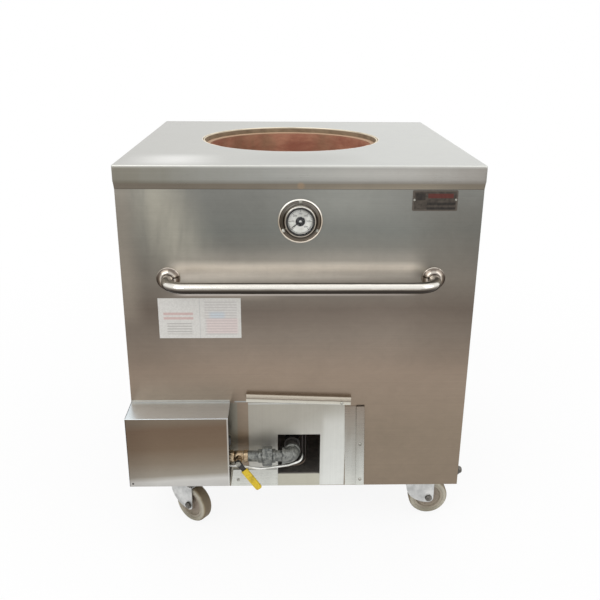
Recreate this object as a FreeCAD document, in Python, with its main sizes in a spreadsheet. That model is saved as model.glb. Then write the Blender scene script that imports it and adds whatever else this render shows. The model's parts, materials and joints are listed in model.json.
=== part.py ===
import FreeCAD, Part
import math
import os
import Sketcher

# Floor-standing gas tandoor: a clay pot in a square steel cabinet on four swivel casters.
# Millimetres, X to the right, Y to the back, Z up.  The origin lies on the floor, at the
# middle of the whole cooker's width and depth.

Vector = FreeCAD.Vector
Rotation = FreeCAD.Rotation
Placement = FreeCAD.Placement

DIMENSIONS = {
    # cabinet
    "deck_side": 812.8,
    "overall_height": 939.8,
    "body_floor": 130.0,
    "sheet_gauge": 1.5,
    "deck_skirt": 37.5,
    "lip_drop": 15.0,
    "panel_inset": 2.5,
    # frame, base pan and shelf
    "frame_gauge": 4.0,
    "frame_flange": 40.0,
    "frame_wall": 32.0,
    "post_leg": 30.0,
    "pan_gauge": 3.0,
    "air_opening": 220.0,
    "shelf_height": 328.0,
    "shelf_gauge": 6.0,
    "leg_side": 25.0,
    # pot, collar and insulation
    "pot_x": -16.0,
    "pot_back": 26.0,
    "mouth_radius": 215.9,
    "deck_hole_radius": 235.0,
    "rim_drop": 14.0,
    "collar_wall": 5.0,
    "pot_wall": 28.0,
    "belly_radius": 300.0,
    "foot_radius": 190.0,
    "pot_hole_radius": 110.0,
    "air_gap": 12.0,
    # side cap nuts
    "nut_drop": 5.0,
    "nut_setback": 24.0,
    "nut_radius": 12.5,
    "nut_length": 16.0,
    "stud_radius": 5.0,
    # handle
    "handle_x": 3.5,
    "handle_drop": 256.8,
    "handle_centres": 603.0,
    "handle_standoff": 68.0,
    "handle_tube": 25.4,
    "handle_bend": 45.0,
    "handle_wall": 1.6,
    "handle_flange_radius": 27.0,
    "handle_flange_height": 11.0,
    "handle_bolt_radius": 4.0,
    # thermometer
    "gauge_drop": 122.8,
    "gauge_flange_radius": 50.0,
    "gauge_flange_rise": 12.0,
    "dial_radius": 29.5,
    "gauge_case_depth": 24.0,
    "case_wall": 1.5,
    "case_floor": 2.0,
    "case_gap": 0.5,
    "wool_gap": 2.5,
    "dial_level": 4.0,
    "dial_gauge": 1.0,
    "bezel_rise": 1.0,
    "bezel_lip": 2.4,
    "lens_gauge": 1.3,
    "lens_drop": 0.2,
    "gauge_screw_circle": 43.0,
    "stem_radius": 4.0,
    "spindle_radius": 1.5,
    "spindle_reach": 6.0,
    "needle_length": 24.0,
    "needle_gauge": 0.8,
    "needle_gap": 1.0,
    "needle_tail_width": 3.2,
    "needle_waist_width": 2.4,
    "needle_tip_width": 0.6,
    "hub_cap_radius": 10.5,
    "hub_cap_rise": 2.8,
    "needle_rest_angle": 218.0,
    # rating plate and label
    "rating_width": 100.0,
    "rating_tall": 46.0,
    "rating_inset": 109.8,
    "rating_drop": 76.8,
    "rating_gauge": 1.0,
    "rivet_pitch": 91.8,
    "rivet_lift": 2.0,
    "rivet_tail": 1.0,
    "rivet_head_height": 1.4,
    "label_width": 190.0,
    "label_tall": 99.0,
    "label_inset": 175.8,
    "label_drop": 353.8,
    "label_gauge": 0.3,
    # control box
    "cover_width": 237.4,
    "cover_depth": 85.0,
    "cover_sink": 55.0,
    "cover_tall": 183.0,
    "cover_gauge": 1.2,
    # gas line
    "pipe_drop": 86.0,
    "pipe_standoff": 40.0,
    "pipe_radius": 13.35,
    "valve_left": -262.0,
    "valve_width": 72.0,
    "valve_sink": 34.0,
    "valve_tall": 96.0,
    "valve_deep": 48.0,
    "knob_lift": 42.0,
    "knob_radius": 15.0,
    "knob_length": 26.0,
    "ball_valve_x": -146.0,
    "ball_valve_length": 44.0,
    "ball_valve_radius": 15.0,
    "valve_hex_length": 10.0,
    "valve_barrel_inset": 6.0,
    "stem_nut_height": 5.0,
    "lever_length": 88.0,
    "lever_rest_angle": 55.0,
    "lever_gauge": 3.0,
    "lever_width": 14.0,
    "sleeve_start": 24.0,
    "sleeve_width": 17.0,
    "sleeve_thick": 8.0,
    "sleeve_end": 4.0,
    "union_x": -77.0,
    "union_length": 24.0,
    "union_radius": 25.0,
    "union_left_band": 10.0,
    "union_right_band": 8.0,
    "elbow_radius": 18.5,
    "elbow_band_radius": 20.0,
    "socket_radius": 18.0,
    "socket_length": 32.0,
    "socket_bore": 12.1,
    "socket_depth": 20.0,
    # burner
    "mixer_radius": 16.0,
    "shutter_set": 12.0,
    "shutter_gauge": 3.0,
    "burner_radius": 80.0,
    "burner_tall": 36.0,
    "burner_boss": 22.0,
    "burner_foot": 15.0,
    "burner_bar_width": 24.0,
    "burner_bar_gauge": 5.0,
    "burner_web_gauge": 6.0,
    "spreader_radius": 95.0,
    "spreader_gap": 30.0,
    "spreader_gauge": 4.0,
    "spreader_crown": 14.0,
    "pilot_tube_radius": 3.0,
    "pilot_tube_gap": 2.0,
    "pilot_tube_drop": 21.0,
    "pilot_tube_sag": 10.0,
    "pilot_tube_front": 8.0,
    "pilot_tube_rise": 42.0,
    "pilot_rise": 20.0,
    "pilot_setback": 30.0,
    "pilot_block_deep": 14.0,
    "pilot_block_over": 10.0,
    "pilot_nozzle_length": 16.0,
    "tube_inset": 12.0,
    "thermocouple_radius": 1.6,
    "thermocouple_drop": 7.0,
    "thermocouple_side": 8.0,
    # lighting port and the plates round it
    "port_x": 0.7,
    "port_width": 105.0,
    "port_sink": 77.0,
    "port_tall": 113.0,
    "shield_x": -4.4,
    "shield_width": 238.0,
    "shield_bottom": 132.0,
    "shield_lift": 94.0,
    "shield_gauge": 1.2,
    "rail_x": -1.0,
    "rail_lift": 7.0,
    "rail_length": 252.0,
    "rail_tall": 21.5,
    "rail_deep": 12.0,
    "rail_tilt": 2.2,
    "rail_screw_inset": 22.0,
    "rail_screw_drop": 5.0,
    "side_rail_x": 138.8,
    "side_rail_width": 48.4,
    "side_rail_ridge": 21.0,
    "side_rail_bottom": 132.0,
    "side_rail_clear": 23.0,
    "side_rail_deep": 5.0,
    "side_rail_tilt": 1.5,
    "side_screw_rise": 119.0,
    "side_foot_screw_rise": 18.0,
    "bracket_left": -163.0,
    "bracket_width": 109.0,
    "bracket_slant": 7.0,
    "bracket_bottom": 132.0,
    "bracket_tall": 47.0,
    "bracket_gauge": 1.5,
    "bracket_screw_x": 12.0,
    "bracket_screw_rise": 17.5,
    # screws
    "screw_radius": 2.4,
    "screw_head_radius": 4.2,
    "screw_head_height": 2.4,
    "screw_reach": 4.0,
    # casters
    "wheel_radius": 50.8,
    "tread_width": 32.0,
    "tyre_thick": 12.0,
    "tyre_land": 2.0,
    "tyre_shoulder": 5.0,
    "tyre_round": 1.4,
    "trail": 42.0,
    "fork_gauge": 3.0,
    "fork_shoulder": 35.0,
    "fork_gap": 1.7,
    "fork_crown": 104.0,
    "fork_front": 18.0,
    "axle_radius": 6.0,
    "axle_eye": 13.0,
    "head_radius": 24.0,
    "head_gap": 0.3,
    "race_depth": 9.0,
    "kingpin_radius": 6.0,
    "axle_head_height": 5.0,
    "axle_nut_height": 6.0,
    "plate_length": 95.0,
    "plate_width": 63.0,
    "plate_gauge": 3.0,
    "bolt_spacing_x": 76.0,
    "bolt_spacing_y": 45.0,
    "bolt_radius": 4.0,
    "bolt_head_radius": 6.5,
    "bolt_head_height": 4.0,
    "bolt_nut_height": 6.0,
    "caster_setback": 10.0,
    "caster_inset": 1.2,
    "heading_front_left": -38.0,
    "heading_front_right": 0.0,
    "heading_rear_left": 24.0,
    "heading_rear_right": -14.0,
    # clearances
    "running_fit": 0.05,
    "fit_gap": 0.3,
    "cut_over": 1.0,
}

doc = FreeCAD.newDocument("gas_tandoor")
sheet = doc.addObject("Spreadsheet::Sheet", "sizes")
for row, (alias, number) in enumerate(DIMENSIONS.items(), start=1):
    sheet.set(f"A{row}", alias)
    sheet.set(f"B{row}", str(number))
    sheet.setAlias(f"B{row}", alias)
doc.recompute()


class Size:
    """A length with its present value and the sheet formula that it follows."""

    def __init__(self, value, text):
        self.value = value
        self.text = text

    def __add__(self, other):
        other = as_size(other)
        return Size(self.value + other.value, f"({self.text} + {other.text})")

    def __sub__(self, other):
        other = as_size(other)
        return Size(self.value - other.value, f"({self.text} - {other.text})")

    def __mul__(self, other):
        other = as_size(other)
        return Size(self.value * other.value, f"({self.text} * {other.text})")

    def __truediv__(self, other):
        other = as_size(other)
        return Size(self.value / other.value, f"({self.text} / {other.text})")

    def __radd__(self, other):
        return as_size(other) + self

    def __rmul__(self, other):
        return as_size(other) * self

    def __rsub__(self, other):
        return as_size(other) - self

    def __neg__(self):
        return Size(-self.value, f"(0 - {self.text})")


def as_size(value):
    """Any plain number as a Size."""
    return value if isinstance(value, Size) else Size(float(value), repr(float(value)))


def sine(angle):
    """The sine of a size in degrees."""
    return Size(math.sin(math.radians(angle.value)), f"sin({angle.text} * 1 deg)")


def larger(one, other):
    """The larger of two sizes."""
    return Size(max(one.value, other.value), f"max({one.text}; {other.text})")


class Dimensions:
    """The sheet's aliases as Sizes: d.deck_side and so on."""

    def __getattr__(self, alias):
        return Size(float(sheet.get(alias)), f"sizes.{alias}")


d = Dimensions()
ZERO = as_size(0)
TURNS = {
    "x": Rotation(Vector(0, 1, 0), 90),
    "-x": Rotation(Vector(0, 1, 0), -90),
    "y": Rotation(Vector(1, 0, 0), -90),
    "-y": Rotation(Vector(1, 0, 0), 90),
    "z": Rotation(),
}


def bind(item, **sizes):
    """Tie an object's properties to the sheet."""
    for name, size in sizes.items():
        item.setExpression(name, as_size(size).text)


def place(item, x=ZERO, y=ZERO, z=ZERO, turn=Rotation()):
    """Put an object where three sizes say."""
    x, y, z = as_size(x), as_size(y), as_size(z)
    item.Placement = Placement(Vector(x.value, y.value, z.value), turn)
    for axis, size in zip("xyz", (x, y, z)):
        item.setExpression(f"Placement.Base.{axis}", size.text)
    return item


def block(name, x, y, z):
    """A box; x, y and z are its (low, high) limits."""
    item = doc.addObject("Part::Box", name)
    limits = [(as_size(low), as_size(high)) for low, high in (x, y, z)]
    for side, (low, high) in zip(("Length", "Width", "Height"), limits):
        item.setExpression(side, (high - low).text)
    return place(item, *[low for low, _ in limits])


def rod(name, axis, radius, start, end, across):
    """A cylinder from start to end along an axis; across is its other two coordinates."""
    item = doc.addObject("Part::Cylinder", name)
    bind(item, Radius=radius, Height=as_size(end) - start)
    first, second = across
    corner = {"x": (start, first, second), "y": (first, start, second), "z": (first, second, start)}
    return place(item, *corner[axis], turn=TURNS[axis])


def hexagon(name, axis, across_corners, start, end, across):
    """A six-sided bar along an axis."""
    item = doc.addObject("Part::Prism", name)
    item.Polygon = 6
    bind(item, Circumradius=across_corners, Height=as_size(end) - start)
    first, second = across
    corner = {"x": (start, first, second), "y": (first, start, second), "z": (first, second, start)}
    return place(item, *corner[axis], turn=TURNS[axis])


def cut(name, base, *tools):
    """The base less every tool."""
    for number, tool in enumerate(tools, start=1):
        item = doc.addObject("Part::Cut", name if number == len(tools) else f"{name}_cut_{number}")
        item.Base = base
        item.Tool = tool
        base = item
    return base


def fuse(name, *solids):
    """Solids that are one piece."""
    item = doc.addObject("Part::MultiFuse", name)
    item.Shapes = list(solids)
    return item


def group(name, *solids):
    """Alike pieces that share a node as separate solids."""
    item = doc.addObject("Part::Compound", name)
    item.Links = list(solids)
    return item


def outline(body, plane, points):
    """A closed polygon sketch whose corners follow pairs of sizes."""
    sketch = body.newObject("Sketcher::SketchObject", f"{body.Name}_outline")
    datum = next(f for f in body.Origin.OriginFeatures if f.Role == plane)
    sketch.AttachmentSupport = [(datum, "")]
    sketch.MapMode = "FlatFace"
    corners = [(as_size(across), as_size(up)) for across, up in points]
    count = len(corners)
    spots = [Vector(across.value, up.value, 0) for across, up in corners]
    for number in range(count):
        sketch.addGeometry(Part.LineSegment(spots[number], spots[(number + 1) % count]), False)
    for number in range(count):
        sketch.addConstraint(Sketcher.Constraint("Coincident", number, 2, (number + 1) % count, 1))
    for number, sizes in enumerate(corners):
        for kind, size in zip(("DistanceX", "DistanceY"), sizes):
            rule = Sketcher.Constraint(kind, -1, 1, number, 1, size.value)
            name = f"{kind}_{number}"
            sketch.renameConstraint(sketch.addConstraint(rule), name)
            sketch.setExpression(f"Constraints.{name}", size.text)
    return sketch


def turned(name, points, x=ZERO, y=ZERO, z=ZERO, axis="z"):
    """A piece turned about an axis; points are (radius, distance along the axis)."""
    body = doc.addObject("PartDesign::Body", name)
    profile = outline(body, "XZ_Plane", points)
    feature = body.newObject("PartDesign::Revolution", f"{name}_turning")
    feature.Profile = profile
    feature.ReferenceAxis = (profile, ["V_Axis"])
    feature.Angle = 360
    return place(body, x, y, z, TURNS[axis])


def plate(name, plane, points, thickness):
    """A flat piece with a polygon outline, padded along the plane's normal."""
    body = doc.addObject("PartDesign::Body", name)
    feature = body.newObject("PartDesign::Pad", f"{name}_pad")
    feature.Profile = outline(body, plane, points)
    bind(feature, Length=thickness)
    return body


def bent_tube(name, points, bends, radius):
    """A round bar along straight runs joined by tangent arcs; points are triples of sizes."""
    route = [Vector(*[as_size(value).value for value in point]) for point in points]
    edges = []
    start = route[0]
    for number in range(1, len(route) - 1):
        corner = route[number]
        back = (route[number - 1] - corner).normalize()
        ahead = (route[number + 1] - corner).normalize()
        half = (math.pi - back.getAngle(ahead)) / 2
        bend = as_size(bends[number - 1]).value
        trim = bend * math.tan(half)
        middle = (back + ahead).normalize()
        centre = corner + middle * (bend / math.cos(half))
        first = corner + back * trim
        last = corner + ahead * trim
        edges.append(Part.LineSegment(start, first).toShape())
        edges.append(Part.Arc(first, centre - middle * bend, last).toShape())
        start = last
    edges.append(Part.LineSegment(start, route[-1]).toShape())
    ring = Part.Wire([Part.Circle(route[0], route[1] - route[0], as_size(radius).value).toShape()])
    item = doc.addObject("Part::Feature", name)
    item.Shape = Part.Wire(edges).makePipeShell([ring], True, False)
    return item


PARTS = []


def finished(item, label):
    """Name a sub-part and keep it for writing."""
    item.Label = label
    PARTS.append(item)
    return item


# ---------------------------------------------------------------- shared places
HALF = d.deck_side / 2
FACE = HALF - d.panel_inset
INNER = FACE - d.sheet_gauge
REACH = larger(d.cover_depth, d.handle_standoff + d.handle_tube / 2)
MIDDLE = (REACH - d.panel_inset) / 2
FRONT = MIDDLE - FACE
REAR = MIDDLE + FACE
TOP = d.overall_height
UNDER_DECK = TOP - d.sheet_gauge
PANEL_TOP = TOP - d.deck_skirt - d.lip_drop
PAN_TOP = d.body_floor + d.pan_gauge
POT_Y = MIDDLE + d.pot_back
RIM = TOP - d.rim_drop
PIPE_Y = FRONT - d.pipe_standoff
PIPE_Z = d.shelf_height - d.pipe_drop
KNOB_Z = PIPE_Z + d.knob_lift
VALVE_LOW = PIPE_Z - d.valve_sink
COVER_LOW = PIPE_Z - d.cover_sink
COVER_TOP = COVER_LOW + d.cover_tall
NUT_Z = d.body_floor + d.frame_wall - d.nut_drop
VALVE_RIGHT = d.valve_left + d.valve_width
VALVE_BACK = PIPE_Y + d.valve_deep / 2
INLET_X = d.valve_left + d.valve_width / 2
SWIVEL_X = INNER - d.frame_flange - d.plate_length / 2 - d.caster_setback
SWIVEL_Y = INNER - d.frame_flange - d.plate_width / 2 - d.caster_inset
PORT_LEFT = d.port_x - d.port_width / 2
PORT_RIGHT = d.port_x + d.port_width / 2
PORT_LOW = PIPE_Z - d.port_sink
PORT_TOP = PORT_LOW + d.port_tall
SHIELD_TOP = PORT_TOP + d.shield_lift
RAIL_Z = SHIELD_TOP + d.rail_lift
SIDE_RAIL_TALL = RAIL_Z - d.side_rail_clear - d.side_rail_bottom
HANDLE_Z = TOP - d.handle_drop
GAUGE_Z = TOP - d.gauge_drop
RATING_Z = TOP - d.rating_drop
LABEL_Z = TOP - d.label_drop
RATING_X = HALF - d.rating_inset
LABEL_X = d.label_inset - HALF
CASE_RADIUS = d.dial_radius + d.case_wall
CASE_BACK = FRONT + d.gauge_case_depth
STEM_TIP = POT_Y - d.belly_radius - d.fit_gap
SIDES = (-1, 1)
THIRDS = (90, 210, 330)

# Screws on the front face: x and height of each.
RAIL_SCREW_ARM = d.rail_length / 2 - d.rail_screw_inset
TOP_RAIL_SCREW = (
    d.rail_x + RAIL_SCREW_ARM,
    RAIL_Z - RAIL_SCREW_ARM * sine(d.rail_tilt) - d.rail_screw_drop,
)
SIDE_RAIL_Z = d.side_rail_bottom + SIDE_RAIL_TALL / 2
SIDE_RAIL_SCREWS = tuple(
    (d.side_rail_x + (d.side_rail_width - d.side_rail_ridge) / 2
     + (SIDE_RAIL_Z - d.side_rail_bottom - rise) * sine(d.side_rail_tilt),
     d.side_rail_bottom + rise)
    for rise in (d.side_screw_rise, d.side_foot_screw_rise)
)
BRACKET_SCREW = (d.bracket_left + d.bracket_screw_x, d.bracket_bottom + d.bracket_screw_rise)
GAUGE_SCREWS = tuple(
    (d.gauge_screw_circle * math.cos(math.radians(angle)),
     GAUGE_Z + d.gauge_screw_circle * math.sin(math.radians(angle)))
    for angle in THIRDS
)
RIVETS = tuple((RATING_X + side * d.rivet_pitch / 2, RATING_Z + d.rivet_lift) for side in SIDES)
HANDLE_ENDS = tuple(d.handle_x + side * d.handle_centres / 2 for side in SIDES)


def front_holes(name, spots, radius, low, high):
    """Round holes through the front face, from low to high in front of it."""
    return [
        rod(f"{name}_{number}", "y", radius, FRONT - high, FRONT - low, spot)
        for number, spot in enumerate(spots)
    ]


def screw(name, spot, seat):
    """A domed screw in the front face whose head seats at a distance in front of the panel."""
    reach = as_size(seat) + d.sheet_gauge + d.screw_reach
    head = d.screw_head_radius
    profile = [
        (0, -reach),
        (d.screw_radius, -reach),
        (d.screw_radius, 0),
        (head, 0),
        (head * 0.92, d.screw_head_height * 0.55),
        (head * 0.55, d.screw_head_height),
        (0, d.screw_head_height),
    ]
    return turned(name, profile, spot[0], FRONT - seat, spot[1], "-y")


# ---------------------------------------------------------------- cabinet
def frustum(name, low_half, high_half, low, high):
    """A square frustum round the cabinet's middle."""
    item = doc.addObject("Part::Wedge", name)
    bind(item, Xmin=-low_half, Xmax=low_half, Zmin=-low_half, Zmax=low_half,
         X2min=-high_half, X2max=high_half, Z2min=-high_half, Z2max=high_half,
         Ymin=ZERO, Ymax=high - low)
    return place(item, ZERO, MIDDLE, low, TURNS["-y"])


def square(name, half, low, high):
    """A square block round the cabinet's middle."""
    return block(name, (-half, half), (MIDDLE - half, MIDDLE + half), (low, high))


def deck():
    """The top sheet with its skirt, sloping lip and round mouth."""
    skirt_bottom = TOP - d.deck_skirt
    outside = fuse(
        "deck_outside",
        square("deck_skirt_outside", HALF, skirt_bottom, TOP),
        frustum("deck_lip_outside", FACE, HALF, PANEL_TOP, skirt_bottom),
    )
    inside = fuse(
        "deck_inside",
        square("deck_skirt_inside", HALF - d.sheet_gauge, skirt_bottom, UNDER_DECK),
        frustum("deck_lip_inside", INNER, HALF - d.sheet_gauge, PANEL_TOP, skirt_bottom),
    )
    hole = rod("deck_hole", "z", d.deck_hole_radius, UNDER_DECK - d.lip_drop, TOP + d.lip_drop,
               (d.pot_x, POT_Y))
    finished(cut("deck_sheet", outside, inside, hole), "deck")


def mouth_collar():
    """The pale sealing ring between the deck's hole and the pot's rim."""
    outer = d.deck_hole_radius - d.fit_gap
    inner = outer - d.collar_wall
    profile = [(inner, 0), (outer, 0), (outer, d.rim_drop), (inner, d.rim_drop)]
    finished(turned("collar", profile, d.pot_x, POT_Y, RIM), "mouth_collar")


def pot_curve(offset):
    """The pot's outer or inner corners from the foot up, moved in by an offset."""
    tall = RIM - d.shelf_height
    rim = d.mouth_radius + d.pot_wall - offset
    shares = (
        (d.foot_radius - offset, 0),
        (d.belly_radius * 0.86 - offset, 0.14),
        (d.belly_radius * 0.97 - offset, 0.32),
        (d.belly_radius - offset, 0.5),
        (d.belly_radius * 0.97 - offset, 0.68),
        (d.belly_radius * 0.88 - offset, 0.86),
        (rim, 1),
    )
    return [(radius, tall * share) for radius, share in shares]


def clay_pot():
    """The fired clay pot, open at the mouth and round its foot hole."""
    outer = pot_curve(ZERO)
    inner = [(radius, up) for radius, up in pot_curve(d.pot_wall)[1:]]
    floor = [(d.foot_radius - d.pot_wall, d.pot_wall), (d.pot_hole_radius, d.pot_wall)]
    profile = [(d.pot_hole_radius, 0)] + outer + inner[::-1] + floor
    finished(turned("pot", profile, d.pot_x, POT_Y, d.shelf_height), "clay_pot")


def insulation():
    """Mineral wool that fills the cabinet round the pot."""
    half = INNER - d.air_gap
    slab = square("wool_slab", half, d.shelf_height, RIM - d.air_gap)
    post = d.post_leg + d.fit_gap
    corners = [
        block(f"wool_corner_{number}",
              (side * (INNER - post / 2) - post / 2, side * (INNER - post / 2) + post / 2),
              (MIDDLE + end * (INNER - post / 2) - post / 2,
               MIDDLE + end * (INNER - post / 2) + post / 2),
              (d.shelf_height - d.cut_over, TOP))
        for number, (side, end) in enumerate((s, e) for s in SIDES for e in SIDES)
    ]
    hollow = turned("wool_hollow", [(0, 0)] + pot_curve(-d.fit_gap) + [(0, RIM - d.shelf_height)],
                    d.pot_x, POT_Y, d.shelf_height)
    stem_hole = rod("wool_stem_hole", "y", d.stem_radius + d.fit_gap, FRONT, POT_Y,
                    (ZERO, GAUGE_Z))
    case_hole = rod("wool_case_hole", "y", CASE_RADIUS + d.wool_gap, FRONT,
                    CASE_BACK + d.screw_reach, (ZERO, GAUGE_Z))
    finished(cut("wool", slab, *corners, hollow, stem_hole, case_hole), "insulation")


def panels():
    """Four outer sheets, drilled for what passes through or is fixed to them."""
    long_x = (-FACE, FACE)
    tall = (d.body_floor, PANEL_TOP)
    sheet_front = block("front_sheet", long_x, (FRONT, FRONT + d.sheet_gauge), tall)
    port = block("front_port", (PORT_LEFT, PORT_RIGHT),
                 (FRONT - d.cut_over, FRONT + d.sheet_gauge + d.cut_over),
                 (PORT_LOW, PORT_TOP))
    screws = [TOP_RAIL_SCREW, *SIDE_RAIL_SCREWS, BRACKET_SCREW, *GAUGE_SCREWS]
    back = -d.sheet_gauge * 2
    holes = front_holes("front_screw_hole", screws, d.screw_radius, back, d.sheet_gauge)
    holes += front_holes("front_rivet_hole", RIVETS, d.screw_radius, back, d.sheet_gauge)
    holes += front_holes("front_gauge_hole", [(ZERO, GAUGE_Z)], CASE_RADIUS + d.case_gap,
                         back, d.sheet_gauge)
    holes += front_holes("front_inlet_hole", [(INLET_X, PIPE_Z)],
                         d.pipe_radius + d.fit_gap, back, d.sheet_gauge)
    holes += front_holes("front_handle_hole", [(x, HANDLE_Z) for x in HANDLE_ENDS],
                         d.handle_bolt_radius, back, d.sheet_gauge)
    finished(cut("front_skin", sheet_front, port, *holes), "front_panel")

    sheet_rear = block("rear_sheet", long_x, (REAR - d.sheet_gauge, REAR), tall)
    inlet = rod("rear_inlet_hole", "y", d.socket_radius + d.fit_gap,
                REAR - d.sheet_gauge - d.cut_over, REAR + d.cut_over, (INLET_X, PIPE_Z))
    finished(cut("rear_skin", sheet_rear, inlet), "rear_panel")

    skins = []
    for side, name in zip(SIDES, ("left", "right")):
        low, high = sorted((side * FACE, side * INNER), key=lambda size: size.value)
        skin = block(f"{name}_sheet", (low, high),
                     (FRONT + d.sheet_gauge, REAR - d.sheet_gauge), tall)
        holes = [
            rod(f"{name}_stud_hole_{end + 1}", "x", d.stud_radius,
                low - d.cut_over, high + d.cut_over,
                (MIDDLE + end * (FACE - d.nut_setback), NUT_Z))
            for end in SIDES
        ]
        skins.append(cut(f"{name}_skin", skin, *holes))
    finished(group("side_skins", *skins), "side_panels")


def body_frame():
    """The welded angle frame: a base ring and four corner posts."""
    ring = cut(
        "ring",
        square("ring_outside", INNER, PAN_TOP, PAN_TOP + d.frame_wall),
        square("ring_above_flange", INNER - d.frame_gauge, PAN_TOP + d.frame_gauge,
               PAN_TOP + d.frame_wall),
        square("ring_middle", INNER - d.frame_flange, PAN_TOP - d.cut_over,
               PAN_TOP + d.frame_wall),
    )
    posts = []
    for side in SIDES:
        for end in SIDES:
            name = f"post_{side + 1}_{end + 1}"
            outer_x, outer_y = side * INNER, MIDDLE + end * INNER
            shift = d.post_leg - d.frame_gauge
            solid_x = sorted((outer_x, outer_x - side * d.post_leg), key=lambda s: s.value)
            solid_y = sorted((outer_y, outer_y - end * d.post_leg), key=lambda s: s.value)
            solid = block(name, solid_x, solid_y, (PAN_TOP, UNDER_DECK))
            edge_x, edge_y = outer_x - side * d.frame_gauge, outer_y - end * d.frame_gauge
            hollow_x = sorted((edge_x, edge_x - side * shift), key=lambda s: s.value)
            hollow_y = sorted((edge_y, edge_y - end * shift), key=lambda s: s.value)
            hollow = block(f"{name}_hollow", hollow_x, hollow_y,
                           (PAN_TOP + d.frame_gauge, UNDER_DECK))
            posts.append(cut(f"{name}_angle", solid, hollow))
    studs = [
        rod(f"ring_stud_hole_{side + 1}_{end + 1}", "x", d.stud_radius,
            side * INNER - d.frame_gauge * 2, side * INNER + d.frame_gauge * 2,
            (MIDDLE + end * (FACE - d.nut_setback), NUT_Z))
        for side in SIDES for end in SIDES
    ]
    taps = front_holes("ring_tap", [SIDE_RAIL_SCREWS[1], BRACKET_SCREW], d.screw_radius,
                       -d.frame_gauge * 2, ZERO)
    finished(cut("frame", fuse("frame_solid", ring, *posts), *studs, *taps), "body_frame")


def caster_bolt_spots():
    """Every caster bolt's x and y."""
    return [
        (side * SWIVEL_X + a * d.bolt_spacing_x / 2,
         MIDDLE + end * SWIVEL_Y + b * d.bolt_spacing_y / 2)
        for side in SIDES for end in SIDES for a in SIDES for b in SIDES
    ]


def base_pan():
    """The floor sheet that the casters bolt to, open under the burner for air."""
    pan = square("pan_sheet", INNER, d.body_floor, PAN_TOP)
    half = d.air_opening / 2
    opening = block("pan_opening", (d.pot_x - half, d.pot_x + half), (POT_Y - half, POT_Y + half),
                    (d.body_floor - d.cut_over, PAN_TOP + d.cut_over))
    holes = [
        rod(f"pan_bolt_hole_{number}", "z", d.bolt_radius, d.body_floor - d.cut_over,
            PAN_TOP + d.cut_over, spot)
        for number, spot in enumerate(caster_bolt_spots())
    ]
    finished(cut("pan", pan, opening, fuse("pan_bolt_holes", *holes)), "base_pan")


def pot_support():
    """The shelf on four legs that carries the pot."""
    half = INNER - d.post_leg - d.fit_gap
    shelf_low = d.shelf_height - d.shelf_gauge
    shelf = cut(
        "shelf",
        square("shelf_sheet", half, shelf_low, d.shelf_height),
        rod("shelf_hole", "z", d.pot_hole_radius, shelf_low - d.cut_over,
            d.shelf_height + d.cut_over, (d.pot_x, POT_Y)),
    )
    leg_half = d.leg_side / 2
    legs = []
    for side in SIDES:
        for end in SIDES:
            x = side * SWIVEL_X
            y = MIDDLE + end * (SWIVEL_Y - d.plate_width)
            legs.append(block(f"shelf_leg_{side + 1}_{end + 1}", (x - leg_half, x + leg_half),
                              (y - leg_half, y + leg_half), (PAN_TOP, shelf_low)))
    finished(fuse("shelf_on_legs", shelf, *legs), "pot_support")


def cap_nuts():
    """Domed nuts with washers and studs, two on each side of the base ring."""
    washer = d.nut_radius
    profile = [
        (0, -d.sheet_gauge - d.frame_gauge * 2),
        (d.stud_radius, -d.sheet_gauge - d.frame_gauge * 2),
        (d.stud_radius, 0),
        (washer, 0),
        (washer, d.nut_length * 0.12),
        (washer * 0.84, d.nut_length * 0.12),
        (washer * 0.84, d.nut_length * 0.5),
        (washer * 0.66, d.nut_length * 0.8),
        (washer * 0.36, d.nut_length * 0.96),
        (0, d.nut_length),
    ]
    nuts = [
        turned(f"cap_nut_{side + 1}_{end + 1}", profile, side * FACE,
               MIDDLE + end * (FACE - d.nut_setback), NUT_Z, "x" if side > 0 else "-x")
        for side in SIDES for end in SIDES
    ]
    finished(group("cap_nuts", *nuts), "frame_cap_nuts")


# ---------------------------------------------------------------- handle
def handle():
    """The grab bar with its two rosettes; bolts from inside hold its plugged ends."""
    tube = d.handle_tube / 2
    left, right = HANDLE_ENDS
    out = FRONT - d.handle_standoff
    plug = d.handle_flange_height * 1.5

    def route(back):
        return [(left, FRONT - back, HANDLE_Z), (left, out, HANDLE_Z),
                (right, out, HANDLE_Z), (right, FRONT - back, HANDLE_Z)]

    bends = [d.handle_bend, d.handle_bend]
    solid = bent_tube("bar_outside", route(ZERO), bends, tube)
    hollow = bent_tube("bar_inside", route(plug), bends, tube - d.handle_wall)
    holes = front_holes("bar_bolt_hole", [(x, HANDLE_Z) for x in HANDLE_ENDS],
                        d.handle_bolt_radius, ZERO, plug)
    finished(cut("bar", solid, hollow, *holes), "handle_bar")

    foot = d.handle_flange_radius
    rise = d.handle_flange_height
    profile = [(tube, 0), (foot, 0), (foot, rise * 0.25), (foot * 0.86, rise * 0.55),
               (foot * 0.62, rise * 0.9), (tube, rise)]
    rosettes = [
        turned(f"rosette_{number}", profile, x, FRONT, HANDLE_Z, "-y")
        for number, x in enumerate(HANDLE_ENDS)
    ]
    finished(group("rosettes", *rosettes), "handle_flanges")


def handle_bolts():
    """The two bolts inside the front panel."""
    radius = d.handle_bolt_radius
    reach = d.sheet_gauge + d.handle_flange_height
    profile = [(0, 0), (radius * 1.8, 0), (radius * 1.8, radius), (radius, radius),
               (radius, radius + reach), (0, radius + reach)]
    return [
        turned(f"handle_bolt_{number}", profile, x, FRONT + d.sheet_gauge + radius,
               HANDLE_Z, "-y")
        for number, x in enumerate(HANDLE_ENDS)
    ]


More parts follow.
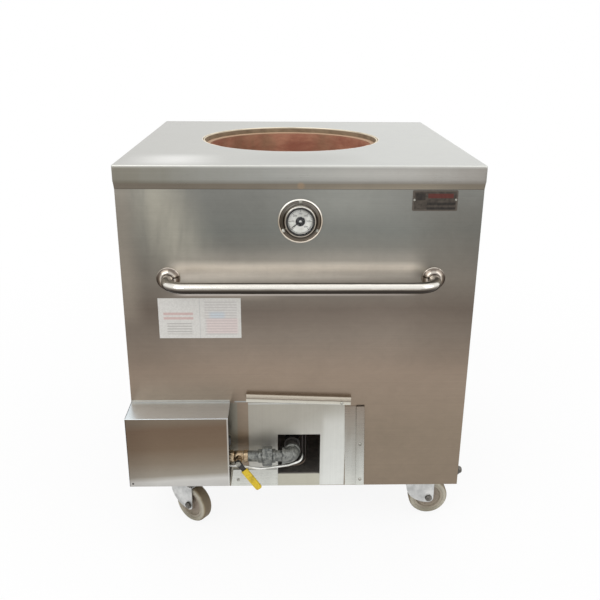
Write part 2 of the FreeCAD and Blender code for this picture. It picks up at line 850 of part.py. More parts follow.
# ---------------------------------------------------------------- thermometer
def thermometer():
    """A round dial thermometer whose stem reaches into the insulation beside the pot."""
    centre = {"x": ZERO, "y": FRONT, "z": GAUGE_Z, "axis": "-y"}
    wide = d.gauge_flange_radius
    bore = CASE_RADIUS + d.fit_gap
    rise = d.gauge_flange_rise
    flange = turned("gauge_flange", [
        (bore, 0), (wide, 0), (wide, d.sheet_gauge), (wide * 0.76, d.sheet_gauge * 1.4),
        (wide * 0.71, rise * 0.5), (bore + d.bezel_lip, rise), (bore, rise)], **centre)
    holes = front_holes("gauge_screw_hole", GAUGE_SCREWS, d.screw_radius, ZERO, rise)
    finished(cut("gauge_ring", flange, *holes), "thermometer_flange")

    deep = d.gauge_case_depth
    floor = d.case_floor - deep
    well = CASE_RADIUS * 0.6
    seat = d.dial_level - d.dial_gauge
    bezel = rise + d.bezel_rise
    finished(turned("gauge_case", [
        (0, FRONT - STEM_TIP), (d.stem_radius, FRONT - STEM_TIP), (d.stem_radius, -deep),
        (CASE_RADIUS, -deep), (CASE_RADIUS, bezel), (d.dial_radius, bezel),
        (d.dial_radius, seat), (well, seat), (well, floor), (0, floor)], **centre),
        "thermometer_case")
    pin = d.spindle_radius
    finished(turned("gauge_dial", [
        (pin + d.running_fit, seat), (d.dial_radius, seat),
        (d.dial_radius, d.dial_level), (pin + d.running_fit, d.dial_level)], **centre),
        "thermometer_dial")
    glass = d.dial_radius - d.running_fit
    glass_top = rise - d.lens_drop
    glass_low = glass_top - d.lens_gauge
    finished(turned("gauge_lens", [
        (0, glass_low), (glass, glass_low), (glass, glass_top), (0, glass_top)], **centre),
        "thermometer_lens")

    blade_low = d.dial_level + d.needle_gap
    blade_top = blade_low + d.needle_gauge
    tail = -d.needle_length * 0.45
    waist = d.needle_length * 0.4
    blade = plate("needle_blade", "XZ_Plane", [
        (tail, -d.needle_tail_width / 2), (waist, -d.needle_waist_width / 2),
        (d.needle_length, -d.needle_tip_width / 2), (d.needle_length, d.needle_tip_width / 2),
        (waist, d.needle_waist_width / 2), (tail, d.needle_tail_width / 2)], d.needle_gauge)
    place(blade, ZERO, -blade_low, ZERO)
    spindle = rod("needle_spindle", "y", pin, -blade_top, d.spindle_reach, (ZERO, ZERO))
    cap_rise = d.hub_cap_rise
    cap = turned("needle_cap", [
        (0, 0), (d.hub_cap_radius, 0), (d.hub_cap_radius, cap_rise * 0.43),
        (d.hub_cap_radius * 0.7, cap_rise * 0.86), (0, cap_rise)], y=-blade_top, axis="-y")
    needle = fuse("needle", blade, spindle, cap)
    place(needle, ZERO, FRONT, GAUGE_Z,
          Rotation(Vector(0, 1, 0), -d.needle_rest_angle.value))
    finished(needle, "thermometer_pointer")


# ---------------------------------------------------------------- plates on the front
def rating_plate():
    """A small riveted plate, left plain."""
    half = d.rating_width / 2
    tall = d.rating_tall / 2
    body = block("rating_sheet", (RATING_X - half, RATING_X + half),
                 (FRONT - d.rating_gauge, FRONT), (RATING_Z - tall, RATING_Z + tall))
    holes = front_holes("rating_hole", RIVETS, d.screw_radius, ZERO, d.rating_gauge * 2)
    finished(cut("rating", body, *holes), "rating_plate")


def info_label():
    """A thin paper label on the front panel."""
    half = d.label_width / 2
    tall = d.label_tall / 2
    body = block("label_sheet", (LABEL_X - half, LABEL_X + half),
                 (FRONT - d.label_gauge, FRONT), (LABEL_Z - tall, LABEL_Z + tall))
    finished(body, "info_label")


def shield_plate():
    """The galvanised plate round the lighting port, open down to its lower edge."""
    half = d.shield_width / 2
    front = FRONT - d.shield_gauge
    body = block("shield_sheet", (d.shield_x - half, d.shield_x + half), (front, FRONT),
                 (d.shield_bottom, SHIELD_TOP))
    port = block("shield_port", (PORT_LEFT, PORT_RIGHT),
                 (front - d.cut_over, FRONT + d.cut_over),
                 (d.shield_bottom - d.cut_over, PORT_TOP))
    hole = front_holes("shield_screw_hole", [TOP_RAIL_SCREW], d.screw_radius * 2,
                       -d.cut_over, d.shield_gauge + d.cut_over)
    reach = d.side_rail_width / 2 + d.fit_gap
    notch = block("shield_rail_space", (-reach, reach),
                  (-d.shield_gauge - d.cut_over, d.cut_over),
                  (-SIDE_RAIL_TALL, SIDE_RAIL_TALL))
    tilted = group("shield_rail_space_tilted", notch)
    place(tilted, d.side_rail_x, FRONT, SIDE_RAIL_Z,
          Rotation(Vector(0, 1, 0), -d.side_rail_tilt.value))
    finished(cut("shield", body, port, *hole, tilted), "shield_plate")


def top_rail():
    """The folded rail over the shield plate, a little out of level."""
    half = d.rail_length / 2
    tall = d.rail_tall / 2
    sheet_thick = d.sheet_gauge
    profile = [
        (0, tall), (-d.rail_deep, tall), (-d.rail_deep, -tall), (-d.shield_gauge, -tall),
        (-d.shield_gauge, sheet_thick - tall), (sheet_thick - d.rail_deep, sheet_thick - tall),
        (sheet_thick - d.rail_deep, tall - sheet_thick), (0, tall - sheet_thick),
    ]
    fold = plate("rail_fold", "YZ_Plane", profile, d.rail_length)
    place(fold, -half, ZERO, ZERO)
    screw_x, screw_z = TOP_RAIL_SCREW
    tilted = group("rail_tilted", fold)
    place(tilted, d.rail_x, FRONT, RAIL_Z, Rotation(Vector(0, 1, 0), d.rail_tilt.value))
    hole = rod("rail_hole", "y", d.screw_radius, FRONT - d.rail_deep * 2, FRONT + d.cut_over,
               (screw_x, screw_z))
    finished(cut("rail", tilted, hole), "top_rail")


def side_rail():
    """The rail beside the shield plate: a flat flange with a raised ridge along its edge."""
    half = d.side_rail_width / 2
    deep = d.side_rail_deep
    thin = d.shield_gauge
    ridge = half - d.side_rail_ridge
    profile = [
        (-half, 0), (-half, -thin), (ridge, -thin), (ridge, -deep), (half, -deep),
        (half, 0), (half - thin, 0), (half - thin, thin - deep), (ridge + thin, thin - deep),
        (ridge + thin, 0),
    ]
    fold = plate("side_rail_fold", "XY_Plane", profile, SIDE_RAIL_TALL)
    place(fold, ZERO, ZERO, -SIDE_RAIL_TALL / 2)
    tilted = group("side_rail_tilted", fold)
    place(tilted, d.side_rail_x, FRONT, SIDE_RAIL_Z,
          Rotation(Vector(0, 1, 0), -d.side_rail_tilt.value))
    holes = front_holes("side_rail_hole", SIDE_RAIL_SCREWS, d.screw_radius, -d.cut_over, deep * 2)
    finished(cut("side_rail_bar", tilted, *holes), "side_rail")


def access_bracket():
    """The joggled plate at the shield's lower left corner."""
    step = d.shield_x - d.shield_width / 2 - d.fit_gap
    right = d.bracket_left + d.bracket_width
    low, high = d.bracket_bottom, d.bracket_bottom + d.bracket_tall
    foot = d.bracket_left - d.bracket_slant
    face = FRONT - d.shield_gauge
    front = plate("bracket_front", "XZ_Plane", [
        (foot, low), (right, low), (right, high), (d.bracket_left, high)], d.bracket_gauge)
    place(front, ZERO, face, ZERO)
    back = plate("bracket_back", "XZ_Plane", [
        (foot, low), (step, low), (step, high), (d.bracket_left, high)], d.shield_gauge)
    place(back, ZERO, FRONT, ZERO)
    body = fuse("bracket_solid", front, back)
    hole = front_holes("bracket_hole", [BRACKET_SCREW], d.screw_radius, -d.cut_over,
                       (d.shield_gauge + d.bracket_gauge) * 2)
    finished(cut("bracket", body, *hole), "access_bracket")


def rivets():
    """The rating plate's two rivets."""
    reach = d.rating_gauge + d.sheet_gauge + d.rivet_tail
    head = d.screw_head_radius * 0.7
    dome = d.rivet_head_height
    profile = [(0, -reach), (d.screw_radius, -reach), (d.screw_radius, 0), (head, 0),
               (head * 0.8, dome * 0.65), (0, dome)]
    return [
        turned(f"rivet_{number}", profile, x, FRONT - d.rating_gauge, up, "-y")
        for number, (x, up) in enumerate(RIVETS)
    ]


def panel_fasteners():
    """Every screw and rivet on the front face, with the handle's bolts inside it."""
    screws = [screw("top_rail_screw", TOP_RAIL_SCREW, d.rail_deep)]
    screws += [
        screw(f"side_rail_screw_{number}", spot, d.side_rail_deep)
        for number, spot in enumerate(SIDE_RAIL_SCREWS)
    ]
    screws.append(screw("bracket_screw", BRACKET_SCREW, d.shield_gauge + d.bracket_gauge))
    screws += [
        screw(f"gauge_screw_{number}", spot, d.sheet_gauge * 1.4)
        for number, spot in enumerate(GAUGE_SCREWS)
    ]
    finished(group("screws", *screws, *rivets(), *handle_bolts()), "panel_fasteners")


# ---------------------------------------------------------------- controls and gas line
def control_box_cover():
    """The folded cover over the gas control, open at its right side and back."""
    thin = d.cover_gauge
    right = d.cover_width - FACE
    out = FRONT - d.cover_depth
    shell = cut(
        "cover_shell",
        block("cover_outside", (-FACE, right), (out, FRONT), (COVER_LOW, COVER_TOP)),
        block("cover_inside", (thin - FACE, right + d.cut_over),
              (out + thin, FRONT + d.cut_over),
              (COVER_LOW + thin, COVER_TOP - thin)),
    )
    finished(shell, "control_box_cover")


def gas_control():
    """The safety valve in the control box, with its knob facing the open side."""
    left, right = d.valve_left, VALVE_RIGHT
    low, high = VALVE_LOW, VALVE_LOW + d.valve_tall
    bevel = d.valve_width / 7
    casting = plate("control_casting", "XZ_Plane", [
        (left + bevel, low), (right - bevel, low), (right, low + bevel), (right, high - bevel),
        (right - bevel, high), (left + bevel, high), (left, high - bevel), (left, low + bevel)],
        d.valve_deep)
    place(casting, ZERO, VALVE_BACK, ZERO)
    spindle = d.knob_radius / 4
    bore = rod("control_bore", "x", spindle + d.running_fit, right - d.knob_radius,
               right + d.cut_over, (PIPE_Y, KNOB_Z))
    finished(cut("control_body", casting, bore), "gas_control_valve")
    grip = d.knob_radius
    long = d.knob_length
    knob = turned("knob_turning", [
        (0, -grip * 0.9), (spindle, -grip * 0.9), (spindle, d.fit_gap), (grip * 0.8, d.fit_gap),
        (grip, long * 0.2), (grip * 0.9, long * 0.9), (grip * 0.75, long), (0, long)],
        right, PIPE_Y, KNOB_Z, "x")
    finished(knob, "gas_control_knob")


def gas_inlet_pipe():
    """The supply pipe from a socket in the rear panel to the control valve."""
    centre = (INLET_X, PIPE_Z)
    end = REAR + d.sheet_gauge
    body = fuse(
        "inlet_solid",
        rod("inlet_run", "y", d.pipe_radius, VALVE_BACK, end, centre),
        rod("inlet_socket", "y", d.socket_radius, end - d.socket_length, end, centre),
    )
    bore = rod("inlet_bore", "y", d.socket_bore, end - d.socket_depth, end + d.cut_over, centre)
    finished(cut("inlet", body, bore), "gas_inlet_pipe")


def gas_line():
    """Adapter, ball valve, union and elbow from the control valve to the burner."""
    centre = (PIPE_Y, PIPE_Z)
    valve_left = d.ball_valve_x - d.ball_valve_length / 2
    valve_right = d.ball_valve_x + d.ball_valve_length / 2
    pipe = d.pipe_radius
    run = valve_left - VALVE_RIGHT
    finished(turned("adapter_turning", [
        (0, 0), (pipe * 0.7, 0), (pipe * 0.7, run * 0.3), (pipe * 0.95, run * 0.34),
        (pipe * 0.95, run * 0.94), (pipe * 0.8, run), (0, run)],
        VALVE_RIGHT, *centre, "x"), "brass_adapter")

    body = d.ball_valve_radius
    boss_end = PIPE_Y - d.union_radius - d.sleeve_thick / 2
    stem = d.lever_width * 0.3
    inset = d.valve_barrel_inset
    flat = d.valve_hex_length
    casting = fuse(
        "ball_valve_solid",
        rod("ball_valve_barrel", "x", body * 0.9, valve_left + inset, valve_right - inset, centre),
        hexagon("ball_valve_left_hex", "x", body, valve_left, valve_left + flat, centre),
        hexagon("ball_valve_right_hex", "x", body, valve_right - flat, valve_right, centre),
        rod("ball_valve_boss", "y", body * 0.6, boss_end, PIPE_Y, (d.ball_valve_x, PIPE_Z)),
    )
    bore = rod("ball_valve_stem_bore", "y", stem + d.running_fit, boss_end - d.cut_over,
               boss_end + body * 0.8, (d.ball_valve_x, PIPE_Z))
    finished(cut("ball_valve", casting, bore), "ball_valve_body")

    lever_back = boss_end - d.fit_gap
    lever_front = lever_back - d.lever_gauge
    pivot = (d.ball_valve_x, PIPE_Z)
    stem_solid = fuse(
        "stem_solid",
        rod("stem_bar", "y", stem, lever_front, boss_end + body * 0.7, pivot),
        hexagon("stem_nut", "y", d.lever_width * 0.5, lever_front - d.stem_nut_height,
                lever_front, pivot),
    )
    finished(stem_solid, "valve_stem_nut")

    half = d.lever_width / 2
    blade = half * 0.7
    tip = d.lever_length - d.sleeve_end
    arm = plate("lever_arm", "XZ_Plane", [
        (-half, -half * 0.6), (-half * 0.6, -half), (half, -half), (d.sleeve_start, -blade),
        (tip, -blade), (tip, blade), (d.sleeve_start, blade), (half, half), (-half * 0.6, half),
        (-half, half * 0.6)], d.lever_gauge)
    eye = rod("lever_eye", "y", stem, -d.lever_gauge * 2, d.lever_gauge, (ZERO, ZERO))
    lever = cut("lever", arm, eye)
    parked = Rotation(Vector(0, 1, 0), d.lever_rest_angle.value)
    place(lever, d.ball_valve_x, lever_back, PIPE_Z, parked)
    finished(lever, "valve_lever")

    wide = d.sleeve_width / 2
    thick = d.sleeve_thick / 2
    middle = -d.lever_gauge / 2
    jacket = block("sleeve_solid", (d.sleeve_start, d.lever_length),
                   (middle - thick, middle + thick), (-wide, wide))
    slot = block("sleeve_slot", (d.sleeve_start - d.cut_over, tip), (-d.lever_gauge, ZERO),
                 (-blade, blade))
    sleeve = cut("sleeve", jacket, slot)
    place(sleeve, d.ball_valve_x, lever_back, PIPE_Z, parked)
    finished(sleeve, "lever_sleeve")

    elbow_x = d.pot_x
    band = d.elbow_band_radius
    swell = d.elbow_radius
    arm_length = pipe * 1.9
    union_low = d.union_x - d.union_length / 2
    union_high = d.union_x + d.union_length / 2
    finished(fuse(
        "union_solid",
        rod("union_pipe", "x", pipe, valve_right, elbow_x - arm_length, centre),
        hexagon("union_nut", "x", d.union_radius, union_low, union_high, centre),
        rod("union_left_end", "x", pipe * 1.35, union_low - d.union_left_band, union_low, centre),
        rod("union_right_end", "x", pipe * 1.35, union_high, union_high + d.union_right_band,
            centre),
    ), "pipe_union")

    elbow = fuse(
        "elbow_solid",
        rod("elbow_left", "x", swell, elbow_x - arm_length, elbow_x, centre),
        rod("elbow_left_band", "x", band, elbow_x - arm_length, elbow_x - arm_length * 0.6,
            centre),
        rod("elbow_back", "y", swell, PIPE_Y, PIPE_Y + arm_length, (elbow_x, PIPE_Z)),
        rod("elbow_back_band", "y", band, PIPE_Y + arm_length * 0.6, PIPE_Y + arm_length,
            (elbow_x, PIPE_Z)),
        knuckle("elbow_knuckle", swell, elbow_x),
    )
    finished(elbow, "pipe_elbow")
    return PIPE_Y + arm_length


def knuckle(name, radius, x):
    """The ball that rounds the elbow's corner."""
    item = doc.addObject("Part::Sphere", name)
    bind(item, Radius=radius)
    return place(item, x, PIPE_Y, PIPE_Z)


def burner(mixer_start):
    """Mixer tube, air shutter and ring burner under the pot, with the spreader above."""
    centre = (d.pot_x, PIPE_Z)
    boss_start = POT_Y - d.burner_radius - d.mixer_radius
    shutter = d.mixer_radius * 1.25
    finished(fuse(
        "mixer_solid",
        rod("mixer_tube", "y", d.mixer_radius, mixer_start, boss_start, centre),
        rod("mixer_shutter", "y", shutter, FRONT + d.shutter_set,
            FRONT + d.shutter_set + d.shutter_gauge, centre),
    ), "burner_mixer_tube")

    half = d.burner_tall / 2
    low, high = PIPE_Z - half, PIPE_Z + half
    rim = d.burner_radius
    head = turned("burner_turning", [
        (rim * 0.35, 0), (rim * 0.8, 0), (rim, half * 0.6), (rim, half * 1.5),
        (rim * 0.9, half * 2), (rim * 0.35, half * 2)], d.pot_x, POT_Y, low)
    boss = rod("burner_boss_bar", "y", d.burner_boss, boss_start, POT_Y - rim * 0.6, centre)
    foot = d.air_opening / 2 + d.burner_foot
    bar = d.burner_bar_width / 2
    web_half = d.burner_web_gauge / 2
    cross = block("burner_bar", (d.pot_x - foot, d.pot_x + foot), (POT_Y - bar, POT_Y + bar),
                  (PAN_TOP, PAN_TOP + d.burner_bar_gauge))
    web = block("burner_web", (d.pot_x - rim * 0.6, d.pot_x + rim * 0.6),
                (POT_Y - web_half, POT_Y + web_half), (PAN_TOP, low + half * 0.5))
    finished(fuse("burner_solid", head, boss, cross, web), "burner_head")

    disc_low = high + d.spreader_gap
    disc = turned("spreader_disc", [
        (0, d.spreader_crown), (0, d.spreader_crown + d.spreader_gauge),
        (d.spreader_radius, d.spreader_gauge),
        (d.spreader_radius, 0)], d.pot_x, POT_Y, disc_low)
    pins = [
        rod(f"spreader_pin_{number}", "z", d.spreader_gauge, high,
            disc_low + d.spreader_gauge * 1.5,
            (d.pot_x + rim * 0.7 * math.cos(math.radians(angle)),
             POT_Y + rim * 0.7 * math.sin(math.radians(angle))))
        for number, angle in enumerate(THIRDS)
    ]
    finished(fuse("spreader", disc, *pins), "flame_spreader")
    return boss_start


def pilot(boss_start):
    """Pilot burner on the mixer tube, its gas tube and the thermocouple."""
    back = boss_start - d.pilot_setback
    front = back - d.pilot_block_deep
    seat = PIPE_Z + d.mixer_radius + d.fit_gap
    line_z = PORT_TOP + d.pilot_rise
    shutter = d.mixer_radius * 1.25
    tube_x = d.pot_x + shutter + d.pilot_tube_radius + d.pilot_tube_gap
    over = d.pilot_block_over
    body = fuse(
        "pilot_solid",
        block("pilot_block", (d.pot_x - d.mixer_radius, tube_x + over), (front, back),
              (seat, line_z + over)),
        rod("pilot_nozzle", "y", d.pilot_tube_radius * 2, back - d.cut_over,
            back + d.pilot_nozzle_length, (tube_x, line_z)),
    )
    finished(body, "pilot_burner")

    low = PORT_LOW + d.pilot_tube_rise
    inside = FRONT + d.tube_inset
    tube_y = PIPE_Y - d.pilot_tube_front
    tube_z = PIPE_Z - d.pilot_tube_drop
    tube_points = [
        (VALVE_RIGHT, tube_y, tube_z),
        (d.ball_valve_x, tube_y, tube_z),
        (d.union_x - 20, tube_y, tube_z - d.pilot_tube_sag),
        (d.pot_x - 10, PIPE_Y + 14, low),
        (tube_x, FRONT - d.pilot_tube_front, low + 1),
        (tube_x, inside, low + 16),
        (tube_x, inside, line_z),
        (tube_x, front, line_z),
    ]
    tube_bends = [100, 100, 40, 22, 9, 16]
    finished(bent_tube("pilot_pipe", tube_points, tube_bends, d.pilot_tube_radius),
             "pilot_tube")

    drop = d.thermocouple_drop
    beside = tube_x + d.thermocouple_side
    lead_y = tube_y + d.thermocouple_side
    lead_points = [
        (VALVE_RIGHT, lead_y, tube_z),
        (d.ball_valve_x, lead_y, tube_z - drop / 2),
        (d.union_x - 20, lead_y, tube_z - d.pilot_tube_sag - drop),
        (d.pot_x - 10, PIPE_Y + 20, low - drop),
        (beside, FRONT - d.pilot_tube_front, low + 1 - drop),
        (beside, inside, low + 16 - drop),
        (beside, inside, line_z),
        (beside, front, line_z),
    ]
    finished(bent_tube("thermocouple_lead", lead_points, tube_bends, d.thermocouple_radius),
             "thermocouple")


# ---------------------------------------------------------------- casters
def caster_mounts():
    """The four top plates with their raceways, and every bolt through the base pan."""
    plates = []
    head_top = d.body_floor - d.plate_gauge - d.race_depth
    for side in SIDES:
        for end in SIDES:
            name = f"caster_plate_{side + 1}_{end + 1}"
            x, y = side * SWIVEL_X, MIDDLE + end * SWIVEL_Y
            half_x, half_y = d.plate_length / 2, d.plate_width / 2
            solid = fuse(
                f"{name}_solid",
                block(f"{name}_sheet", (x - half_x, x + half_x), (y - half_y, y + half_y),
                      (d.body_floor - d.plate_gauge, d.body_floor)),
                rod(f"{name}_race", "z", d.head_radius, head_top,
                    d.body_floor - d.plate_gauge, (x, y)),
            )
            pin = rod(f"{name}_pin_hole", "z", d.kingpin_radius + d.running_fit,
                      head_top - d.cut_over, d.body_floor + d.cut_over, (x, y))
            holes = [
                rod(f"{name}_bolt_hole_{a + 1}_{b + 1}", "z", d.bolt_radius,
                    d.body_floor - d.plate_gauge - d.cut_over, d.body_floor + d.cut_over,
                    (x + a * d.bolt_spacing_x / 2, y + b * d.bolt_spacing_y / 2))
                for a in SIDES for b in SIDES
            ]
            plates.append(cut(name, solid, pin, *holes))
    finished(group("caster_top_plates", *plates), "caster_plates")

    head = d.bolt_head_radius
    shank = d.bolt_head_height
    head_low = d.body_floor - d.plate_gauge - shank
    nut = shank + d.plate_gauge + d.pan_gauge
    nut_top = nut + d.bolt_nut_height
    profile = [
        (0, 0), (head, 0), (head, shank), (d.bolt_radius, shank), (d.bolt_radius, nut),
        (head, nut), (head, nut_top), (0, nut_top)]
    bolts = [
        turned(f"caster_bolt_{number}", profile, *spot, head_low)
        for number, spot in enumerate(caster_bolt_spots())
    ]
    finished(group("bolts", *bolts), "caster_bolts")
    return head_top


def caster(name, x, y, heading, head_top):
    """One swivel caster's fork, axle, wheel and tyre, trailing along its heading."""
    turn = Rotation(Vector(0, 0, 1), heading.value)
    inside = d.tread_width / 2 + d.fork_gap
    outside = inside + d.fork_gauge
    crown_top = d.fork_crown + d.fork_gauge
    axle_z = d.wheel_radius
    eye = d.axle_eye
    reach = d.trail + d.fork_front
    deep = d.fork_shoulder + eye
    belly = [
        (d.trail + reach * math.cos(math.radians(angle)),
         axle_z + d.fork_shoulder + deep * math.sin(math.radians(angle)))
        for angle in range(180, 271, 15)
    ]
    over = d.cut_over

    profile = plate(f"{name}_fork_profile", "XZ_Plane", [(-d.fork_front, crown_top)] + belly + [
        (d.trail + eye * 0.5, axle_z - eye * 0.87), (d.trail + eye * 0.87, axle_z - eye * 0.5),
        (d.trail + eye, axle_z), (d.trail + eye, crown_top)],
        outside * 2)
    place(profile, ZERO, outside, ZERO)
    slot = block(f"{name}_fork_slot", (-d.fork_front - over, d.trail + eye + over),
                 (-inside, inside), (ZERO, d.fork_crown))
    axle_hole = rod(f"{name}_fork_axle_hole", "y", d.axle_radius, -outside - over,
                    outside + over, (d.trail, axle_z))
    pin_top = d.body_floor - d.fit_gap
    head = turned(f"{name}_head", [
        (0, 0), (d.head_radius * 0.9, 0), (d.head_radius, head_top - crown_top - d.head_gap),
        (d.kingpin_radius, head_top - crown_top - d.head_gap),
        (d.kingpin_radius, pin_top - crown_top), (0, pin_top - crown_top)], z=crown_top)
    fork = fuse(f"{name}_fork_solid", cut(f"{name}_fork_sides", profile, slot, axle_hole), head)
    finished(place(fork, x, y, ZERO, turn), f"{name}_fork")

    bolt_head = d.axle_radius * 1.55
    bolt = fuse(
        f"{name}_axle_solid",
        rod(f"{name}_axle_bar", "y", d.axle_radius, -outside, outside, (d.trail, axle_z)),
        hexagon(f"{name}_axle_head", "y", bolt_head, -outside - d.axle_head_height, -outside,
                (d.trail, axle_z)),
        hexagon(f"{name}_axle_nut", "y", bolt_head, outside, outside + d.axle_nut_height,
                (d.trail, axle_z)),
    )
    finished(place(bolt, x, y, ZERO, turn), f"{name}_axle")

    half = d.tread_width / 2
    seat = d.wheel_radius - d.tyre_thick
    bore = d.axle_radius + d.running_fit
    boss = inside - d.fit_gap
    hub = turned(f"{name}_hub_turning", [
        (bore, -boss), (bore * 2, -boss), (bore * 2.2, -half * 0.55), (seat * 0.82, -half * 0.5),
        (seat * 0.86, -half * 0.9), (seat, -half * 0.9), (seat, half * 0.9),
        (seat * 0.86, half * 0.9), (seat * 0.82, half * 0.5), (bore * 2.2, half * 0.55),
        (bore * 2, boss), (bore, boss)], d.trail, ZERO, axle_z, "y")
    hub_piece = group(f"{name}_hub_solid", hub)
    finished(place(hub_piece, x, y, ZERO, turn), f"{name}_wheel")

    tread = d.wheel_radius
    land = seat + d.tyre_land
    wall = tread - d.tyre_shoulder
    edge = tread - d.tyre_round
    tyre = turned(f"{name}_tyre_turning", [
        (seat, -half * 0.9), (land, -half), (wall, -half), (edge, -half * 0.84),
        (tread, -half * 0.55), (tread, half * 0.55), (edge, half * 0.84),
        (wall, half), (land, half), (seat, half * 0.9)], d.trail, ZERO, axle_z, "y")
    tyre_piece = group(f"{name}_tyre_solid", tyre)
    finished(place(tyre_piece, x, y, ZERO, turn), f"{name}_tyre")


def casters():
    """All four casters, each parked at its own heading."""
    head_top = caster_mounts()
    corners = (
        ("front_left", -1, -1, d.heading_front_left),
        ("front_right", 1, -1, d.heading_front_right),
        ("rear_left", -1, 1, d.heading_rear_left),
        ("rear_right", 1, 1, d.heading_rear_right),
    )
    for name, side, end, heading in corners:
        caster(name, side * SWIVEL_X, MIDDLE + end * SWIVEL_Y, heading, head_top)


deck()
mouth_collar()
clay_pot()
insulation()
panels()
body_frame()
base_pan()
pot_support()
cap_nuts()
handle()
thermometer()
rating_plate()
info_label()
shield_plate()
top_rail()
side_rail()
access_bracket()
panel_fasteners()
control_box_cover()
gas_control()
gas_inlet_pipe()
pilot(burner(gas_line()))
casters()

doc.recompute()
for item in doc.Objects:
    if "Invalid" in item.State or "Error" in item.State:
        raise RuntimeError(f"{item.Label} failed: {item.State}")
for item in PARTS:
    if item.Shape.isNull() or not item.Shape.isValid():
        raise RuntimeError(f"{item.Label} has no valid shape")

os.makedirs("parts", exist_ok=True)
for item in PARTS:
    item.Shape.exportStep(f"parts/{item.Label}.step")
print(len(PARTS), "sub-parts written")
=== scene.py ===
import json
import math

import bmesh
import bpy
import numpy as np
from mathutils import Matrix, Vector


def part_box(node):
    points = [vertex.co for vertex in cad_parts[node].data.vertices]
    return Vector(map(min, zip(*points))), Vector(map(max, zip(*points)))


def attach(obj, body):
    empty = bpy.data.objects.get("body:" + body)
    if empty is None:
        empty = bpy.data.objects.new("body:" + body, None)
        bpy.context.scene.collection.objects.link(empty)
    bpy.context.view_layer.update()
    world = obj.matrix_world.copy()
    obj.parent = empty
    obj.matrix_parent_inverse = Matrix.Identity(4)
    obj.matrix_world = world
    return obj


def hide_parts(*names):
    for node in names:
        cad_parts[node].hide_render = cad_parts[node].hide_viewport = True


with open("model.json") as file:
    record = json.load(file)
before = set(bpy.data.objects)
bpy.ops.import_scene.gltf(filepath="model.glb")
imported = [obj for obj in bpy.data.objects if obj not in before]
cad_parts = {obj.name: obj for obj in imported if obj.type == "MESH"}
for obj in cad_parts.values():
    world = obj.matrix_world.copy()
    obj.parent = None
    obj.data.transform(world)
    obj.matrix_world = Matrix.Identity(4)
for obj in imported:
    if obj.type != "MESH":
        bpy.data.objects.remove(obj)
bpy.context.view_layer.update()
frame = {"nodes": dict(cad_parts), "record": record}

mm = 0.001

# where the cabinet's planes lie, in millimetres
cabinet = {
    "middleY": 41.25, "half": 406.4, "face": 403.9, "front": -362.65,
    "top": 939.8, "skirtLow": 902.3, "panelTop": 887.3, "gauge": 1.5,
    "potX": -16.0, "potY": 67.25, "rim": 925.8, "shelf": 328.0,
}


def finishMesh(name, points, faces, slotName, stands=(), sharp=32.0, body="cabinet", finish=None):
    # vertices that fall together are merged, and faces turned outwards; a piece has its slot's finish
    # unless it is given its own
    mesh = bpy.data.meshes.new(name)
    mesh.from_pydata((np.asarray(points, float) * mm).tolist(), [], faces)
    work = bmesh.new()
    work.from_mesh(mesh)
    bmesh.ops.remove_doubles(work, verts=work.verts, dist=1e-6)
    bmesh.ops.recalc_face_normals(work, faces=work.faces)
    work.to_mesh(mesh)
    work.free()
    mesh.polygons.foreach_set("use_smooth", np.ones(len(mesh.polygons), bool))
    mesh.set_sharp_from_angle(angle=math.radians(sharp))
    mesh.materials.append(finish or slotFinish[slotName])
    piece = bpy.data.objects.new(name, mesh)
    bpy.context.scene.collection.objects.link(piece)
    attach(piece, body)
    if stands:
        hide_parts(*stands)
    return piece


def gridFaces(rows, columns, wrapRows=False, wrapColumns=False, start=0):
    # each point joins its neighbour in the next row and the next column; a wrap joins last to first
    i = np.arange(rows if wrapRows else rows - 1)[:, None]
    j = np.arange(columns if wrapColumns else columns - 1)[None, :]
    nextRow, nextColumn = (i + 1) % rows, (j + 1) % columns
    quads = np.stack([i * columns + j, nextRow * columns + j,
                      nextRow * columns + nextColumn, i * columns + nextColumn], -1)
    return (quads.reshape(-1, 4) + start).tolist()


def joinGrids(grids):
    # several grids with their own wraps and end caps, as one list of points and faces
    points, faces = [], []
    for grid in grids:
        shape = grid["points"].shape
        start = sum(len(block) for block in points)
        points.append(grid["points"].reshape(-1, 3))
        faces += gridFaces(shape[0], shape[1], grid.get("wrapRows", False),
                           grid.get("wrapColumns", False), start)
        if grid.get("caps"):
            faces.append([start + k for k in range(shape[1])])
            faces.append([start + (shape[0] - 1) * shape[1] + k for k in range(shape[1])])
    return np.concatenate(points), faces


def alongAxis(axis, centre, radial, turn, along):
    # a point at a radius and angle round an axis, and a distance along it
    first, second = radial * np.cos(turn), radial * np.sin(turn)
    x, y, z = centre
    order = {
        "z": (x + first, y + second, z + along),
        "x": (x + along, y + first, z + second),
        "-x": (x - along, y + first, z + second),
        "y": (x + first, y + along, z + second),
        "-y": (x + first, y - along, z + second),
    }
    return np.stack(np.broadcast_arrays(*order[axis]), -1)


